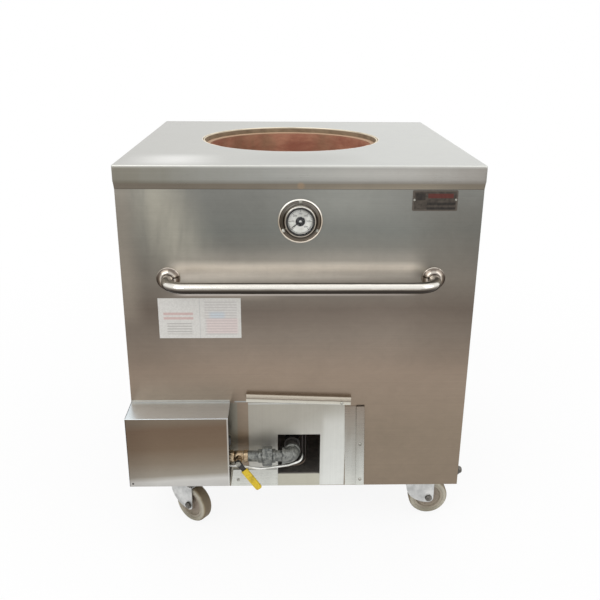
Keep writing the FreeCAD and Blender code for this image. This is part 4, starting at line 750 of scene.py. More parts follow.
def labelSkin():
    # coated paper with pale tints, a fold line and plain unbroken rules in place of print
    material, flow, shader = newFinish("labelPaper", Roughness=0.42)
    u, v = withinBox(flow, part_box("info_label"), "XZ")
    weave = noise(flow, 260.0, 3.0, 0.6)
    line = flow.math("FRACT", v * 15.0).window(0.3, 0.75, 0.08) * weave.between(0.1, 0.5)
    bold = flow.math("FRACT", v * 9.0).window(0.25, 0.8, 0.08)
    pink = u.window(0.58, 0.96, 0.02) * v.window(0.12, 0.5, 0.03)
    blue = u.window(0.62, 0.8, 0.03) * v.window(0.5, 0.66, 0.03)
    heading = bold * u.window(0.06, 0.42, 0.01) * v.window(0.44, 0.66, 0.01)
    leftRows = line * u.window(0.1, 0.4, 0.01) * v.window(0.1, 0.42, 0.01)
    rightRows = line * u.window(0.56, 0.95, 0.01) * v.window(0.08, 0.92, 0.01)
    paper = blend(flow, weave.between(0.2, 0.8), (192, 189, 184), (206, 204, 199))
    feed(flow, shader, Base_Color=layered(
        flow, paper, (pink * 0.3, (214, 178, 176)), (blue * 0.4, (168, 192, 210)),
        (heading * 0.45, (176, 110, 104)), (leftRows * 0.4, (110, 100, 98)),
        (rightRows * 0.28, (132, 116, 120)), (u.window(0.497, 0.503, 0.002) * 0.5, (150, 150, 150))))
    return material


def plateSkin():
    # dark printed foil with a lighter border, two plain blocks and a few rules
    material, flow, shader = newFinish("plateMetal", Metallic=0.6)
    u, v = withinBox(flow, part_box("rating_plate"), "XZ")
    worn = noise(flow, 130.0, 4.0, 0.65)
    border = 1 - u.window(0.035, 0.965, 0.006) * v.window(0.07, 0.93, 0.01)
    block = u.window(0.34, 0.9, 0.01) * v.window(0.62, 0.84, 0.02)
    square = u.window(0.07, 0.28, 0.01) * v.window(0.52, 0.86, 0.02)
    rules = flow.math("FRACT", v * 4.4).window(0.24, 0.8, 0.08)
    rules = rules * u.window(0.32, 0.95, 0.01) * v.window(0.04, 0.5, 0.02)
    base = layered(flow, blend(flow, worn.between(0.3, 0.75), (54, 48, 43), (76, 69, 61)),
                   (border * 0.5, (98, 90, 82)), (block * 0.7, (92, 34, 29)), (square * 0.6, (28, 24, 22)),
                   (rules * 0.6, (18, 16, 15)))
    feed(flow, shader, Base_Color=base, Roughness=worn * 0.2 + 0.35)
    return material


def inkSkin(name, dark, light, shade):
    # print or enamel that ages in patches, with a painted shadow of the rim across the top of the dial
    material, flow, shader = newFinish(name, Roughness=0.5)
    z, = places(flow, "Z")
    age = noise(flow, 70.0, 4.0, 0.6)
    # shade: how strongly the rim's painted shadow greys the top of the dial
    feed(flow, shader, Base_Color=layered(flow, blend(flow, age.between(0.3, 0.8), light, dark),
                                          (z.between(810, 848) * shade, (120, 120, 116))))
    return material


pointerBlack = pointerSkin()
dialInk = inkSkin("dialInk", (28, 27, 26), (44, 42, 40), 0.0)

slotFinish = {
    "deck_steel": deckSkin(), "front_steel": frontSkin(), "cover_steel": coverSkin(),
    "galvanised": shieldSkin(), "rail_steel": railSkin(), "panel_steel": panelSkin(),
    "polished_steel": barSkin(),
    "black_enamel": castMetal("blackEnamel", (14, 13, 12), (34, 32, 30), 0.35, 0.0, 900, 0.05),
    "black_casting": castMetal("blackCasting", (20, 19, 18), (52, 49, 46), 0.5, 0.2),
    "burner_iron": castMetal("burnerIron", (30, 28, 26), (62, 57, 53), 0.65, 0.1),
    "frame_steel": castMetal("frameSteel", (150, 146, 140), (184, 178, 170), 0.6, 0.1, 300),
    "fitting_brass": smoothMetal("fittingBrass", (132, 110, 84), (226, 206, 174), size=90),
    "scorched_steel": smoothMetal("scorchedSteel", (60, 46, 40), (112, 96, 90), rough=0.5, size=40),
    "screw_steel": smoothMetal("screwSteel", (120, 118, 110), (190, 188, 180), rough=0.28, size=120),
    "zinc_plate": smoothMetal("zincPlate", (166, 167, 166), (218, 218, 216), 0.36, 0.9, 35),
    "black_iron": shadeAndSootSkin("blackIron", (78, 80, 78), (134, 135, 130), 0.4, 0.6, 120.0),
    "tube_aluminium": shadeAndSootSkin("tubeAluminium", (208, 208, 202), (240, 240, 235), 0.35, 0.7, 40.0),
    "copper_lead": shadeAndSootSkin("copperLead", (58, 50, 42), (98, 84, 70), 0.45, 0.6, 60.0),
    "black_plastic": plasticSkin(), "yellow_plastic": vinylSkin(),
    "wheel_core": wheelSkin("wheelCore", [(0.0, 104, 92, 82), (0.45, 144, 131, 117), (0.62, 156, 145, 129),
                                          (0.76, 166, 158, 142)]),
    "tyre_rubber": wheelSkin("tyreRubber", [(0.74, 168, 162, 146), (0.92, 182, 176, 160),
                                            (0.965, 140, 128, 104), (0.99, 112, 98, 76)], 0.6),
    "fired_clay": claySkin(), "collar_seal": collarSkin(), "mineral_wool": woolSkin(),
    "gauge_glass": glassSkin(), "label_paper": labelSkin(), "plate_metal": plateSkin(),
    "dial_white": inkSkin("dialWhite", (206, 203, 194), (232, 230, 224), 0.45),
}
print("finishes made:", len(slotFinish))

for part in frame["record"]["subparts"]:
    shown = frame["nodes"][part["node"]]
    shown.data.materials.clear()
    shown.data.materials.append(slotFinish[part["material_slot"]])
print("CAD pieces finished:", len(frame["nodes"]))


deckForm = {"edge": 2.4, "corner": 3.0, "holeEdge": 1.2, "hole": 235.0, "lip": 1.2, "around": 288}


def squareRing(half, corner, turn):
    # distance to a square with rounded corners in each direction, from the square's and the arc's formulas
    c, s = np.abs(np.cos(turn)), np.abs(np.sin(turn))
    flat = half / np.maximum(c, s)
    inner = half - corner
    along = inner * (c + s)
    arc = along + np.sqrt(np.maximum(along ** 2 - 2 * inner ** 2 + corner ** 2, 0))
    return np.where(np.minimum(c, s) * flat > inner, arc, flat)


def makeDeck():
    # rings from the hole's circle out to the skirt's rounded square and back under, joined as one skin
    half, face, gauge = cabinet["half"], cabinet["face"], cabinet["gauge"]
    top, low, end = cabinet["top"], cabinet["skirtLow"], cabinet["panelTop"]
    hole, bend, lip, radius = (deckForm[key] for key in ("hole", "edge", "lip", "holeEdge"))
    quarter = np.linspace(0, math.pi / 2, 6)
    turn = turns(deckForm["around"])[0]
    corners = math.pi / 4 + np.arange(4) * math.pi / 2
    beside = np.array([-0.006, -0.003, 0, 0.003, 0.006])
    turn = np.unique(np.concatenate([turn, (corners[:, None] + beside).ravel()]))
    rings = [("hole", hole + radius - radius * math.sin(a), top - radius + radius * math.cos(a))
             for a in quarter[::-1]]
    rings += [(share, 0, top) for share in (0.04, 0.15, 0.35, 0.6, 0.85, 0.97)]
    rings += [("square", half - bend + bend * math.sin(a), top - bend + bend * math.cos(a)) for a in quarter]
    rings += [("square", size, up) for size, up in (
        (half, low + lip), (half - 0.5, low - 0.2), (face + 0.6, end + 0.3), (face, end), (face - gauge, end),
        (face - gauge, end + 0.4), (half - gauge, low), (half - gauge, top - bend),
        (half - gauge - bend, top - gauge))]
    rings += [(share, 0, top - gauge) for share in (0.9, 0.5, 0.1)] + [("hole", hole, top - gauge)]
    holeX, holeY = cabinet["potX"] + hole * np.cos(turn), cabinet["potY"] + hole * np.sin(turn)
    grid = []
    for kind, size, up in rings:
        if kind == "hole":
            x, y = cabinet["potX"] + size * np.cos(turn), cabinet["potY"] + size * np.sin(turn)
        else:
            reach = squareRing(size if kind == "square" else half - bend, deckForm["corner"], turn)
            x, y = reach * np.cos(turn), cabinet["middleY"] + reach * np.sin(turn)
            if kind != "square":
                x, y = holeX + (x - holeX) * kind, holeY + (y - holeY) * kind
        grid.append(np.stack([x, y, np.full_like(x, up)], -1))
    gridPiece("deckSheet", [{"points": np.array(grid), "wrapRows": True, "wrapColumns": True}],
              "deck_steel", ["deck"], 40)


collarForm = {"outer": 234.7, "inner": 229.7, "edge": 1.2,
              "waves": ((0.35, 7, 0.6), (0.25, 19, 0), (0.15, 43, 1.1))}


def makeCollar():
    # a packed fibre ring: waves height * sin(count * turn + start) lift its top round the mouth
    outer, inner, edge = (collarForm[key] for key in ("outer", "inner", "edge"))
    low, high = cabinet["rim"], cabinet["top"]
    turn = turns(240)
    wave = sum(height * np.sin(count * turn + start) for height, count, start in collarForm["waves"])
    section = rounded([(inner, low), (outer, low), (outer, high - edge), (inner, high - edge)],
                      [0.4, 0.4, 2.0, 2.0])
    up = section[:, 1:] + np.where(section[:, 1:] > high - 6, 1.0, 0.0) * wave
    points = alongAxis("z", (cabinet["potX"], cabinet["potY"], 0), section[:, :1] + 0 * turn, turn, up)
    gridPiece("collarRing", [{"points": points, "wrapRows": True, "wrapColumns": True}],
              "collar_seal", ["mouth_collar"], 60)


potForm = {"wall": 28.0, "lip": 6.0, "footHole": 110.0,
           "heights": (0, 0.14, 0.32, 0.5, 0.68, 0.86, 1.0),
           "radii": (190.0, 258.0, 291.0, 300.0, 291.0, 264.0, 243.9)}


def makePot():
    # the wall is a smooth curve through its stations, with shallow hand-made dents that run round it
    foot, wall, lip, hole = cabinet["shelf"], potForm["wall"], potForm["lip"], potForm["footHole"]
    tall = cabinet["rim"] - foot
    shares, belly = np.array(potForm["heights"]), np.array(potForm["radii"])
    fine = np.linspace(0, 1, 60)
    outside = np.minimum(np.polyval(np.polyfit(shares, belly, 4), fine), np.interp(fine, shares, belly))
    fineIn = fine * (1 - wall / tall) + wall / tall
    insideAt = np.maximum(np.interp(fineIn, fine, outside - wall), np.interp(fineIn, shares, belly - wall))
    soft = lip * 0.3
    profile = [(hole, 0.0)] + list(zip(outside, fine * tall))[:-1]
    profile += [(outside[-1] - soft, tall - soft), (outside[-1] - lip, tall), (insideAt[-1] + lip, tall),
                (insideAt[-1] + soft, tall - soft)]
    profile += list(zip(insideAt, fineIn * tall))[::-1][2:] + [(hole + 2, wall), (hole, wall - 2)]
    profile = np.array(profile)
    turn = turns(180)
    up = profile[:, 1:]
    dent = 0.9 * np.sin(5 * turn + up / 47) * np.sin(up / 31) + 0.5 * np.sin(11 * turn - up / 23)
    radial = profile[:, :1] + dent * np.where(profile[:, :1] > 170, 1.0, 0.2)
    outerRows = np.arange(len(profile))[:, None] <= len(fine) + 1
    radial = np.where(outerRows, np.minimum(radial, profile[:, :1]), np.maximum(radial, profile[:, :1]))
    points = alongAxis("z", (cabinet["potX"], cabinet["potY"], foot), radial, turn, up)
    gridPiece("clayPot", [{"points": points, "wrapRows": True, "wrapColumns": True}],
              "fired_clay", ["clay_pot"], 50)


makeDeck()
makeCollar()
makePot()
print("deck, collar and pot made")


barForm = {"x": 3.5, "z": 683.0, "centres": 603.0, "out": 68.0, "tube": 12.7, "bend": 45.0,
           "rosette": [(13.0, 0.0), (27.0, 0.0), (27.0, 2.6), (23.2, 6.0), (16.7, 9.9), (13.0, 11.0)]}


def makeBar():
    # a round tube carried along two legs and a bar, with a dished ring turned about each leg
    left, right = (barForm["x"] + side * barForm["centres"] / 2 for side in (-1, 1))
    front, z = cabinet["front"], barForm["z"]
    out = front - barForm["out"]
    corners = [(left, front, z), (left, out, z), (right, out, z), (right, front, z)]
    path = denser(bentPath(corners, [barForm["bend"]] * 2, 22), 14)[0]
    gridPiece("grabBar", [tubeGrid(path, barForm["tube"], 40)], "polished_steel", ["handle_bar"], 50)
    profile = rounded(barForm["rosette"], [0.2, 0.4, 1.2, 4.0, 3.0, 0.3], 6)
    gridPiece("barRosettes", [closedTurn(profile, (x, front, z), "-y", 64) for x in (left, right)],
              "polished_steel", ["handle_flanges"], 40, finish=rosetteSteel)


makeBar()


gaugeForm = {"x": 0.0, "z": 817.0, "dial": 29.5, "case": 31.0, "ring": 50.0, "rise": 12.0, "rest": 218.0,
             "marks": 31, "firstMark": 225.0, "sweep": 270.0, "step": 100, "markEnd": 26.6,
             "numbers": 17.2, "numberSize": 5.6, "print": 4.02}


def flatText(words, size, place):
    # a number as a flat shape, centred on its place and facing the front
    curve = bpy.data.curves.new("dialNumber", "FONT")
    curve.body = words
    curve.size = size * mm
    curve.align_x, curve.align_y = "CENTER", "CENTER"
    curve.resolution_u = 3
    holder = bpy.data.objects.new("dialNumber", curve)
    bpy.context.scene.collection.objects.link(holder)
    bpy.context.view_layer.update()
    shape = bpy.data.meshes.new_from_object(holder.evaluated_get(bpy.context.evaluated_depsgraph_get()))
    bpy.data.objects.remove(holder)
    corners = np.zeros(len(shape.vertices) * 3)
    shape.vertices.foreach_get("co", corners)
    corners = corners.reshape(-1, 3) / mm
    faces = [list(face.vertices) for face in shape.polygons]
    bpy.data.meshes.remove(shape)
    x, y, z = place
    return np.stack([x + corners[:, 0], np.full(len(corners), y), z + corners[:, 1]], 1), faces


def turnedFlat(outline, angle):
    # x' = x cos a - y sin a, y' = x sin a + y cos a
    spin = np.array([[math.cos(angle), math.sin(angle)], [-math.sin(angle), math.cos(angle)]])
    return np.asarray(outline) @ spin + (gaugeForm["x"], gaugeForm["z"])


def bar(start, end, wide):
    # a flat strip along the first axis
    return [(start, -wide / 2), (end, -wide / 2), (end, wide / 2), (start, wide / 2)]


def makeGaugeBody():
    # flange, case and dial are sections turned about the gauge's axis: radius, and height over the panel
    rise, dial, case, ring = (gaugeForm[key] for key in ("rise", "dial", "case", "ring"))
    centre = (gaugeForm["x"], cabinet["front"], gaugeForm["z"])
    dish = rounded([(case + 0.3, 0.0), (ring, 0.0), (ring, 3.4), (ring - 3.2, 3.4), (ring - 5.5, 1.6),
                    (39.0, 2.2), (36.4, 7.0), (case + 3.4, rise), (case + 0.3, rise)],
                   [0.1, 0.4, 1.5, 1.2, 2.0, 2.0, 3.0, 1.2, 0.4], 6)
    gridPiece("gaugeRing", [closedTurn(dish, centre, "-y", 96)],
              "polished_steel", ["thermometer_flange"], 35, finish=gaugeSteel)
    shell = rounded([(0.01, -24.0), (case, -24.0), (case, rise + 1.0), (dial, rise + 1.0), (dial, 10.4),
                     (27.9, 10.4), (27.9, 9.0), (dial, 9.0), (dial, 3.0), (18.6, 3.0), (18.6, -22.0),
                     (0.01, -22.0)],
                    [0.0, 1.0, 0.5, 0.4, 0.1, 0.2, 0.2, 0.1, 0.1, 0.1, 0.1, 0.0], 4)
    stem = [(0.0, -129.5), (3.4, -129.5), (4.0, -128.0), (4.0, -24.0), (0.0, -24.0)]
    gridPiece("gaugeCase", [closedTurn(shell, centre, "-y", 80), turnedGrid(stem, centre, "-y", 24)],
              "black_enamel", ["thermometer_case"])
    face = [(1.55, 3.0), (dial, 3.0), (dial, 4.0), (1.55, 4.0)]
    gridPiece("gaugeDial", [closedTurn(face, centre, "-y")], "dial_white", ["thermometer_dial"])


def makeGaugeMarks():
    # strips turned to even steps of the sweep, a ring round them, and a number at every fifth
    x, z, front = gaugeForm["x"], gaugeForm["z"], cabinet["front"]
    end, base, out = gaugeForm["markEnd"], gaugeForm["print"], gaugeForm["numbers"]
    grids, low, high = [], front - base - 0.1, front - base
    sweep = np.radians(gaugeForm["firstMark"] - np.linspace(0, gaugeForm["sweep"], gaugeForm["marks"]))
    for number, angle in enumerate(sweep):
        inner, wide = (21.2, 0.8) if number % 5 == 0 else (23.8, 0.45)
        grids.append(extruded(turnedFlat(bar(inner, end, wide), angle), low, high, "y"))
    circle = [(end, base), (end + 0.6, base), (end + 0.6, base + 0.1), (end, base + 0.1)]
    grids.append(closedTurn(circle, (x, front, z), "-y"))
    points, faces = joinGrids(grids)
    for number, angle in enumerate(sweep[::5]):
        place = (x + out * math.cos(angle), front - base - 0.12, z + out * math.sin(angle))
        more, shapes = flatText(str(number * gaugeForm["step"]), gaugeForm["numberSize"], place)
        faces += [[k + len(points) for k in face] for face in shapes]
        points = np.concatenate([points, more])
    finishMesh("gaugeMarks", points, faces, "dial_white", finish=dialInk)


def makeGlass():
    # a disc whose outer face is domed a little
    glass = [(0.0, 10.5), (29.4, 10.5), (29.4, 11.5), (20.0, 11.72), (10.0, 11.8), (0.0, 11.8)]
    gridPiece("gaugeLens", [turnedGrid(glass, (gaugeForm["x"], cabinet["front"], gaugeForm["z"]), "-y")],
              "gauge_glass", ["thermometer_lens"])


def makePointer():
    # a tapered blade with a tail, a stepped hub turned about the pivot, its slot and its spindle
    front = cabinet["front"]
    centre = (gaugeForm["x"], front, gaugeForm["z"])
    edge = [(-10.8, 1.5), (-9.0, 1.7), (4.0, 1.3), (9.6, 1.1), (23.4, 0.5)]
    blade = [(x, -y) for x, y in edge] + [(24.0, 0.0)] + edge[::-1]
    hub = [(0, 5.8), (9.9, 5.8), (10.5, 6.2), (10.5, 6.9), (9.9, 7.4), (7.8, 7.6), (7.0, 8.0), (6.2, 8.5),
           (3.4, 8.6), (0, 8.6)]
    spindle = [(0.0, -6.0), (1.5, -6.0), (1.5, 5.8), (0.0, 5.8)]
    needle = extruded(turnedFlat(blade, math.radians(gaugeForm["rest"])), front - 5.0, front - 5.8, "y")
    slot = extruded(turnedFlat(bar(-4.6, 4.6, 1.6), 1.0), front - 8.6, front - 8.9, "y")
    gridPiece("gaugePointer", [needle, slot, turnedGrid(hub, centre, "-y", 48),
                               turnedGrid(spindle, centre, "-y", 16)],
              "black_plastic", ["thermometer_pointer"], body="needle", finish=pointerBlack)


makeGaugeBody()
makeGaugeMarks()
makeGlass()
makePointer()
print("grab bar and thermometer made")


boxForm = {"left": -403.9, "right": -166.5, "out": 85.0, "low": 187.0, "high": 370.0, "gauge": 1.2,
           "bend": 2.2}
valveForm = {"left": -262.0, "right": -190.0, "low": 208.0, "high": 304.0, "front": -426.65,
             "back": -378.65, "bevel": 10.3, "screws": 24.0, "knobZ": 284.0, "flutes": 14,
             "fluteDeep": 0.07}
lineY, lineZ = -402.65, 242.0


def makeCover():
    # a bent sheet: the C-shaped section runs across, and a plate closes its left end
    low, high, thick, bend, left = (boxForm[key] for key in ("low", "high", "gauge", "bend", "left"))
    front = cabinet["front"]
    out = front - boxForm["out"]
    section = rounded([(front, high), (out, high), (out, low), (front, low), (front, low + thick),
                       (out + thick, low + thick), (out + thick, high - thick), (front, high - thick)],
                      [0.1, bend, bend, 0.1, 0.1, bend - thick, bend - thick, 0.1], 6)
    end = rounded([(front, low), (front, high), (out, high), (out, low)], [0.1, 0.1, bend, bend], 6)
    gridPiece("boxCover", [extruded(section, left + 0.05, boxForm["right"], "x", 9),
                           extruded(end, left, left + thick, "x")],
              "cover_steel", ["control_box_cover"], 35)


def makeValve():
    # a cast block with its corners cut off, and a screwed diaphragm cover on its face
    left, right, low, high = (valveForm[key] for key in ("left", "right", "low", "high"))
    face, bevel, reach = valveForm["front"] + 4, valveForm["bevel"], valveForm["screws"]
    middle = ((left + right) / 2, face, (low + high) / 2)
    block = rounded([(left + bevel, low), (right - bevel, low), (right, low + bevel), (right, high - bevel),
                     (right - bevel, high), (left + bevel, high), (left, high - bevel), (left, low + bevel)],
                    3.0, 4)
    plate = [(0, 0), (29.5, 0), (30, 0.6), (30, 2.6), (28.6, 3.4), (13, 3.4), (11, 2.4), (0, 2.4)]
    boss = [(0, 0), (9, 0), (9, 3.2), (8, 4), (0, 4)]
    screw = [(0, 0), (3.2, 0), (2.9, 0.5), (1.6, 0.8), (0, 0.8)]
    grids = [extruded(block, face, valveForm["back"], "y"), turnedGrid(plate, middle, "-y", 64),
             turnedGrid(boss, middle, "-y", 36)]
    for angle in np.radians(np.arange(30, 390, 60)):
        centre = (middle[0] + reach * math.cos(angle), face - 3.2, middle[2] + reach * math.sin(angle))
        grids.append(turnedGrid(screw, centre, "-y", 20))
    gridPiece("gasValve", grids, "black_casting", ["gas_control_valve"], 35)


def makeKnob():
    # radius less a flute's depth times a raised cosine round it, with a raised line on its end
    right, z = valveForm["right"], valveForm["knobZ"]
    profile = np.array([(0, -13.5), (3.75, -13.5), (3.75, 0.3), (12, 0.3), (14.2, 1.2), (15, 5.2),
                        (14.3, 14), (13.5, 22.4), (12.6, 24.6), (11.2, 26), (6, 26), (5.2, 25.4), (0, 25.4)])
    turn = turns(8 * valveForm["flutes"])
    side = np.where((profile[:, 1:] > 4) & (profile[:, 1:] < 24), 1.0, 0.0)
    flute = valveForm["fluteDeep"] * side * (0.5 + 0.5 * np.cos(valveForm["flutes"] * turn))
    points = alongAxis("x", (right, lineY, z), profile[:, :1] * (1 - flute), turn, profile[:, 1:])
    line = [(lineY - 0.8, z + 2), (lineY + 0.8, z + 2), (lineY + 0.8, z + 10.5), (lineY - 0.8, z + 10.5)]
    grids = [{"points": points, "wrapColumns": True}, extruded(line, right + 25.2, right + 26, "x")]
    gridPiece("valveKnob", grids, "black_plastic", ["gas_control_knob"], 35, body="knob")


makeCover()
makeValve()
makeKnob()
print("control box made")


leverForm = {"x": -146.0, "turn": 55.0, "back": -431.95, "front": -434.95, "long": 84.0, "root": 14.0,
             "neck": 24.0, "sleeveStart": 24.0, "sleeveEnd": 88.0, "sleeveWide": 17.0, "sleeveThick": 8.0}
unionForm = {"octagon": 18.0, "hexagon": 25.0, "pipe": 13.35}
elbowForm = {"corner": -16.0, "radius": 19.0, "end": 25.4,
             "from": (0, 1.0, 6.0, 8.0, 14.0, 22.0), "swell": (18.9, 20.0, 20.0, 18.2, 18.2, 18.5)}


def onLine(*profiles):
    # each profile turned about the pipe's own line, its second number being x
    return [turnedGrid(profile, (0, lineY, lineZ), "x", 48) for profile in profiles]


def makeBrass():
    # nuts and barrels turned about the pipe's line, and the valve's neck and packing nut about its stem
    centre, stem = (0, lineY, lineZ), (leverForm["x"], lineY, lineZ)
    collar = [(0, -172.0), (10.0, -172.0), (11.8, -171.0), (11.8, -169.2), (10.6, -168.0), (0, -168.0)]
    gridPiece("brassAdapter", [hexNut(centre, "x", -190.0, -178.4, 12.7),
                               *onLine(threads(-178.4, -172.0, 9.6), collar)],
              "fitting_brass", ["brass_adapter"])
    barrel = [(0, -158.2), (11.6, -158.2), (12.9, -156.0), (13.5, -152.0), (13.5, -140.0), (12.9, -136.0),
              (11.6, -133.8), (0, -133.8)]
    neck = turnedGrid([(0, 6), (9, 6), (9, 18), (8, 19.6), (0, 19.6)], stem, "-y", 40)
    gridPiece("ballValve", [hexNut(centre, "x", -168.0, -158.0, 15.0), *onLine(barrel),
                            hexNut(centre, "x", -134.0, -124.0, 15.0), neck,
                            hexNut(stem, "-y", 19.6, 29.0, 9.0, 4.5)], "fitting_brass", ["ball_valve_body"])


def makeLever():
    # the bar and its nut turn together about the stem
    x, turn, back, front = (leverForm[key] for key in ("x", "turn", "back", "front"))
    stem, out = (x, lineY, lineZ), lineY - front
    tip = [(0, out + 4.0), (3.8, out + 4.0), (3.6, out + 4.8), (2.8, out + 5.0), (0, out + 5.0)]
    gridPiece("leverNut", [turnedGrid([(0, 8.3), (4.2, 8.3), (4.2, out), (0, out)], stem, "-y", 32),
                           hexNut(stem, "-y", out, out + 4.0, 7.0), turnedGrid(tip, stem, "-y", 32)],
              "screw_steel", ["valve_stem_nut"], body="lever")
    half, end, neck = leverForm["root"] / 2, leverForm["long"], leverForm["neck"]
    edge = [(-half, half * 0.6), (-half * 0.6, half), (half, half), (neck, half * 0.7), (end, half * 0.7)]
    soft = [1.5, 1.5, 4.0, 6.0, 3.0]
    outline = rounded([(a, -b) for a, b in edge] + edge[::-1], soft + soft[::-1], 4)
    strip = moved(extruded(outline, 0, back - front, "y"), (x, front, lineZ), "y", turn)
    gridPiece("leverBar", [strip], "black_casting", ["valve_lever"], 30, body="lever")


def makeSleeve():
    # its section is |y/a|^4 + |z/b|^4 = 1, drawn in to a rounded nose
    back, front = leverForm["back"], leverForm["front"]
    start, end = leverForm["sleeveStart"], leverForm["sleeveEnd"]
    nose = np.linspace(0, math.pi / 2, 9)
    level = np.concatenate([[start, start + 0.6, start + 1.6], np.linspace(start + 6, end - 9, 12),
                            end - 7 + 7 * np.sin(nose)])[:, None]
    swell = np.concatenate([[0.88, 0.97, 1.0], np.linspace(1.0, 0.97, 12),
                            0.97 * np.maximum(np.cos(nose), 0.0) ** 0.45])[:, None]
    turn = turns(48)
    c, s = np.cos(turn), np.sin(turn)
    thick = leverForm["sleeveThick"] / 2 * np.sign(c) * np.abs(c) ** 0.5
    wide = leverForm["sleeveWide"] / 2 * np.sign(s) * np.abs(s) ** 0.5
    points = np.stack([level + 0 * turn, (back - front) / 2 + thick * swell, wide * swell], -1)
    sleeve = moved({"points": points, "wrapColumns": True, "caps": True},
                   (leverForm["x"], front, lineZ), "y", leverForm["turn"])
    gridPiece("leverSleeve", [sleeve], "yellow_plastic", ["lever_sleeve"], 40, body="lever")


def makeIron():
    # the union's nut and bands about the pipe's line, then an elbow whose radius swells to a bead at
    # both ends
    centre, pipe, octagon = (0, lineY, lineZ), unionForm["pipe"], unionForm["octagon"]
    sleeve, socket = onLine([(0, -124.0), (12.6, -124.0), (pipe, -123.0), (pipe, -99.0), (0, -99.0)],
                            [(0, -57.0), (pipe, -57.0), (pipe, -41.4), (0, -41.4)])
    gridPiece("pipeUnion", [sleeve, hexNut(centre, "x", -99.0, -89.0, octagon, count=8, turn=0.2),
                            hexNut(centre, "x", -89.0, -65.0, unionForm["hexagon"], turn=0.3),
                            hexNut(centre, "x", -65.0, -57.0, octagon, count=8, turn=0.2), socket],
              "black_iron", ["pipe_union"])
    x, end = elbowForm["corner"], elbowForm["end"]
    corners = [(-41.4, lineY, lineZ), (x, lineY, lineZ), (x, lineY + end, lineZ)]
    path, walked = denser(bentPath(corners, [elbowForm["radius"]], 16), 1.2)
    radius = np.interp(np.minimum(walked, walked[-1] - walked), elbowForm["from"], elbowForm["swell"])
    gridPiece("pipeElbow", [tubeGrid(path, radius, 48)], "black_iron", ["pipe_elbow"], 40)


makeBrass()
makeLever()
makeSleeve()
makeIron()
print("gas line made")


railForm = {"topX": -1.0, "topZ": 379.0, "topHalf": 126, "topTilt": 2.2,
            "sideX": 138.8, "sideZ": 244.0, "sideHalf": 112, "sideTilt": -1.5}


def makeRails():
    # folded sections carried along their length, then tilted as they are screwed on
    front = cabinet["front"]
    fold = rounded([(0, 10.75), (-12, 10.75), (-12, 4.6), (-10.8, 3.4), (-10.8, 1.8), (-12, 0.6),
                    (-12, -10.75), (-1.2, -10.75), (-1.2, -9.25), (-10.5, -9.25), (-10.5, 9.25), (0, 9.25)],
                   [0.1, 2.4, 0.5, 0.4, 0.4, 0.5, 2.4, 0.2, 0.2, 0.9, 0.9, 0.1], 4)
    ridge = rounded([(-24.2, 0), (-24.2, -1.2), (3.2, -1.2), (3.2, -5), (24.2, -5), (24.2, 0), (23.0, 0),
                     (23.0, -3.8), (4.4, -3.8), (4.4, 0)],
                    [0.1, 0.3, 0.8, 1.5, 1.5, 0.1, 0.1, 0.3, 0.3, 0.1], 4)
    for name, node, key, section, axis in (("topRail", "top_rail", "top", fold, "x"),
                                           ("sideRail", "side_rail", "side", ridge, "z")):
        x, z, half, tilt = (railForm[key + word] for word in ("X", "Z", "Half", "Tilt"))
        rail = moved(extruded(section, -half, half, axis, 5), (x, front, z), "y", tilt)
        gridPiece(name, [rail], "rail_steel", [node], 30)


nutForm = {"z": 157.0, "y": (-338.65, 421.15), "corner": 12.5,
           "dome": [(0, 6.8), (10.2, 6.8), (9.8, 9.2), (8.6, 12.4), (6.2, 14.9), (3.2, 15.8), (0, 16.0)],
           "stud": [(0, -7.5), (5, -7.5), (5, 0), (0, 0)]}


def makeCapNuts():
    # acorn nuts: a hexagon below a dome
    grids = []
    for axis, x in (("x", cabinet["face"]), ("-x", -cabinet["face"])):
        for y in nutForm["y"]:
            centre = (x, y, nutForm["z"])
            grids += [hexNut(centre, axis, 0.0, 7.0, nutForm["corner"]),
                      turnedGrid(nutForm["dome"], centre, axis, 36),
                      turnedGrid(nutForm["stud"], centre, axis, 20)]
    gridPiece("capNuts", grids, "polished_steel", ["frame_cap_nuts"], finish=boltSteel)


ratingForm = {"left": 246.6, "right": 346.6, "low": 840, "high": 886, "corner": 3.0, "thick": 1.0}


def makeRating():
    # a thin plate with rounded corners, carried straight out from the panel
    left, right, low, high = (ratingForm[key] for key in ("left", "right", "low", "high"))
    front = cabinet["front"]
    outline = rounded([(left, low), (right, low), (right, high), (left, high)], ratingForm["corner"], 6)
    gridPiece("ratingPlate", [extruded(outline, front - ratingForm["thick"], front, "y")],
              "plate_metal", ["rating_plate"])


makeRails()
makeCapNuts()
makeRating()
print("rails and plates made")


casterForm = {"trail": 42.0, "axle": 50.8, "inside": 17.7, "outside": 20.7, "crown": 107.0, "front": 18.0,
              "eye": 13.0, "shoulder": 35.0, "bend": 4.0, "raceLow": 117.7, "pin": 129.7}
casters = {
    "front_left": (-304.9, -288.45, -38.0), "front_right": (304.9, -288.45, 0.0),
    "rear_left": (-304.9, 370.95, 24.0), "rear_right": (304.9, 370.95, -14.0),
}
# half sections of the wheel's core and tyre, as radius and distance from the middle, each with its corner
wheelHalf = [(6.3, 17.4, 0.5), (12.6, 17.4, 1.0), (14.0, 9.0, 3.0), (30.6, 7.6, 3.0), (33.2, 14.4, 1.0),
             (38.8, 14.4, 0.3)]
tyreHalf = [(38.8, 14.4, 0.2), (40.8, 16, 1.0), (46.4, 16, 4.0), (50.8, 10.2, 4.0)]


def mirroredSection(half, steps):
    # a half section and its mirror image, as one rounded outline
    both = [(radius, -side, soft) for radius, side, soft in half] + half[::-1]
    return rounded([corner[:2] for corner in both], [corner[2] for corner in both], steps)


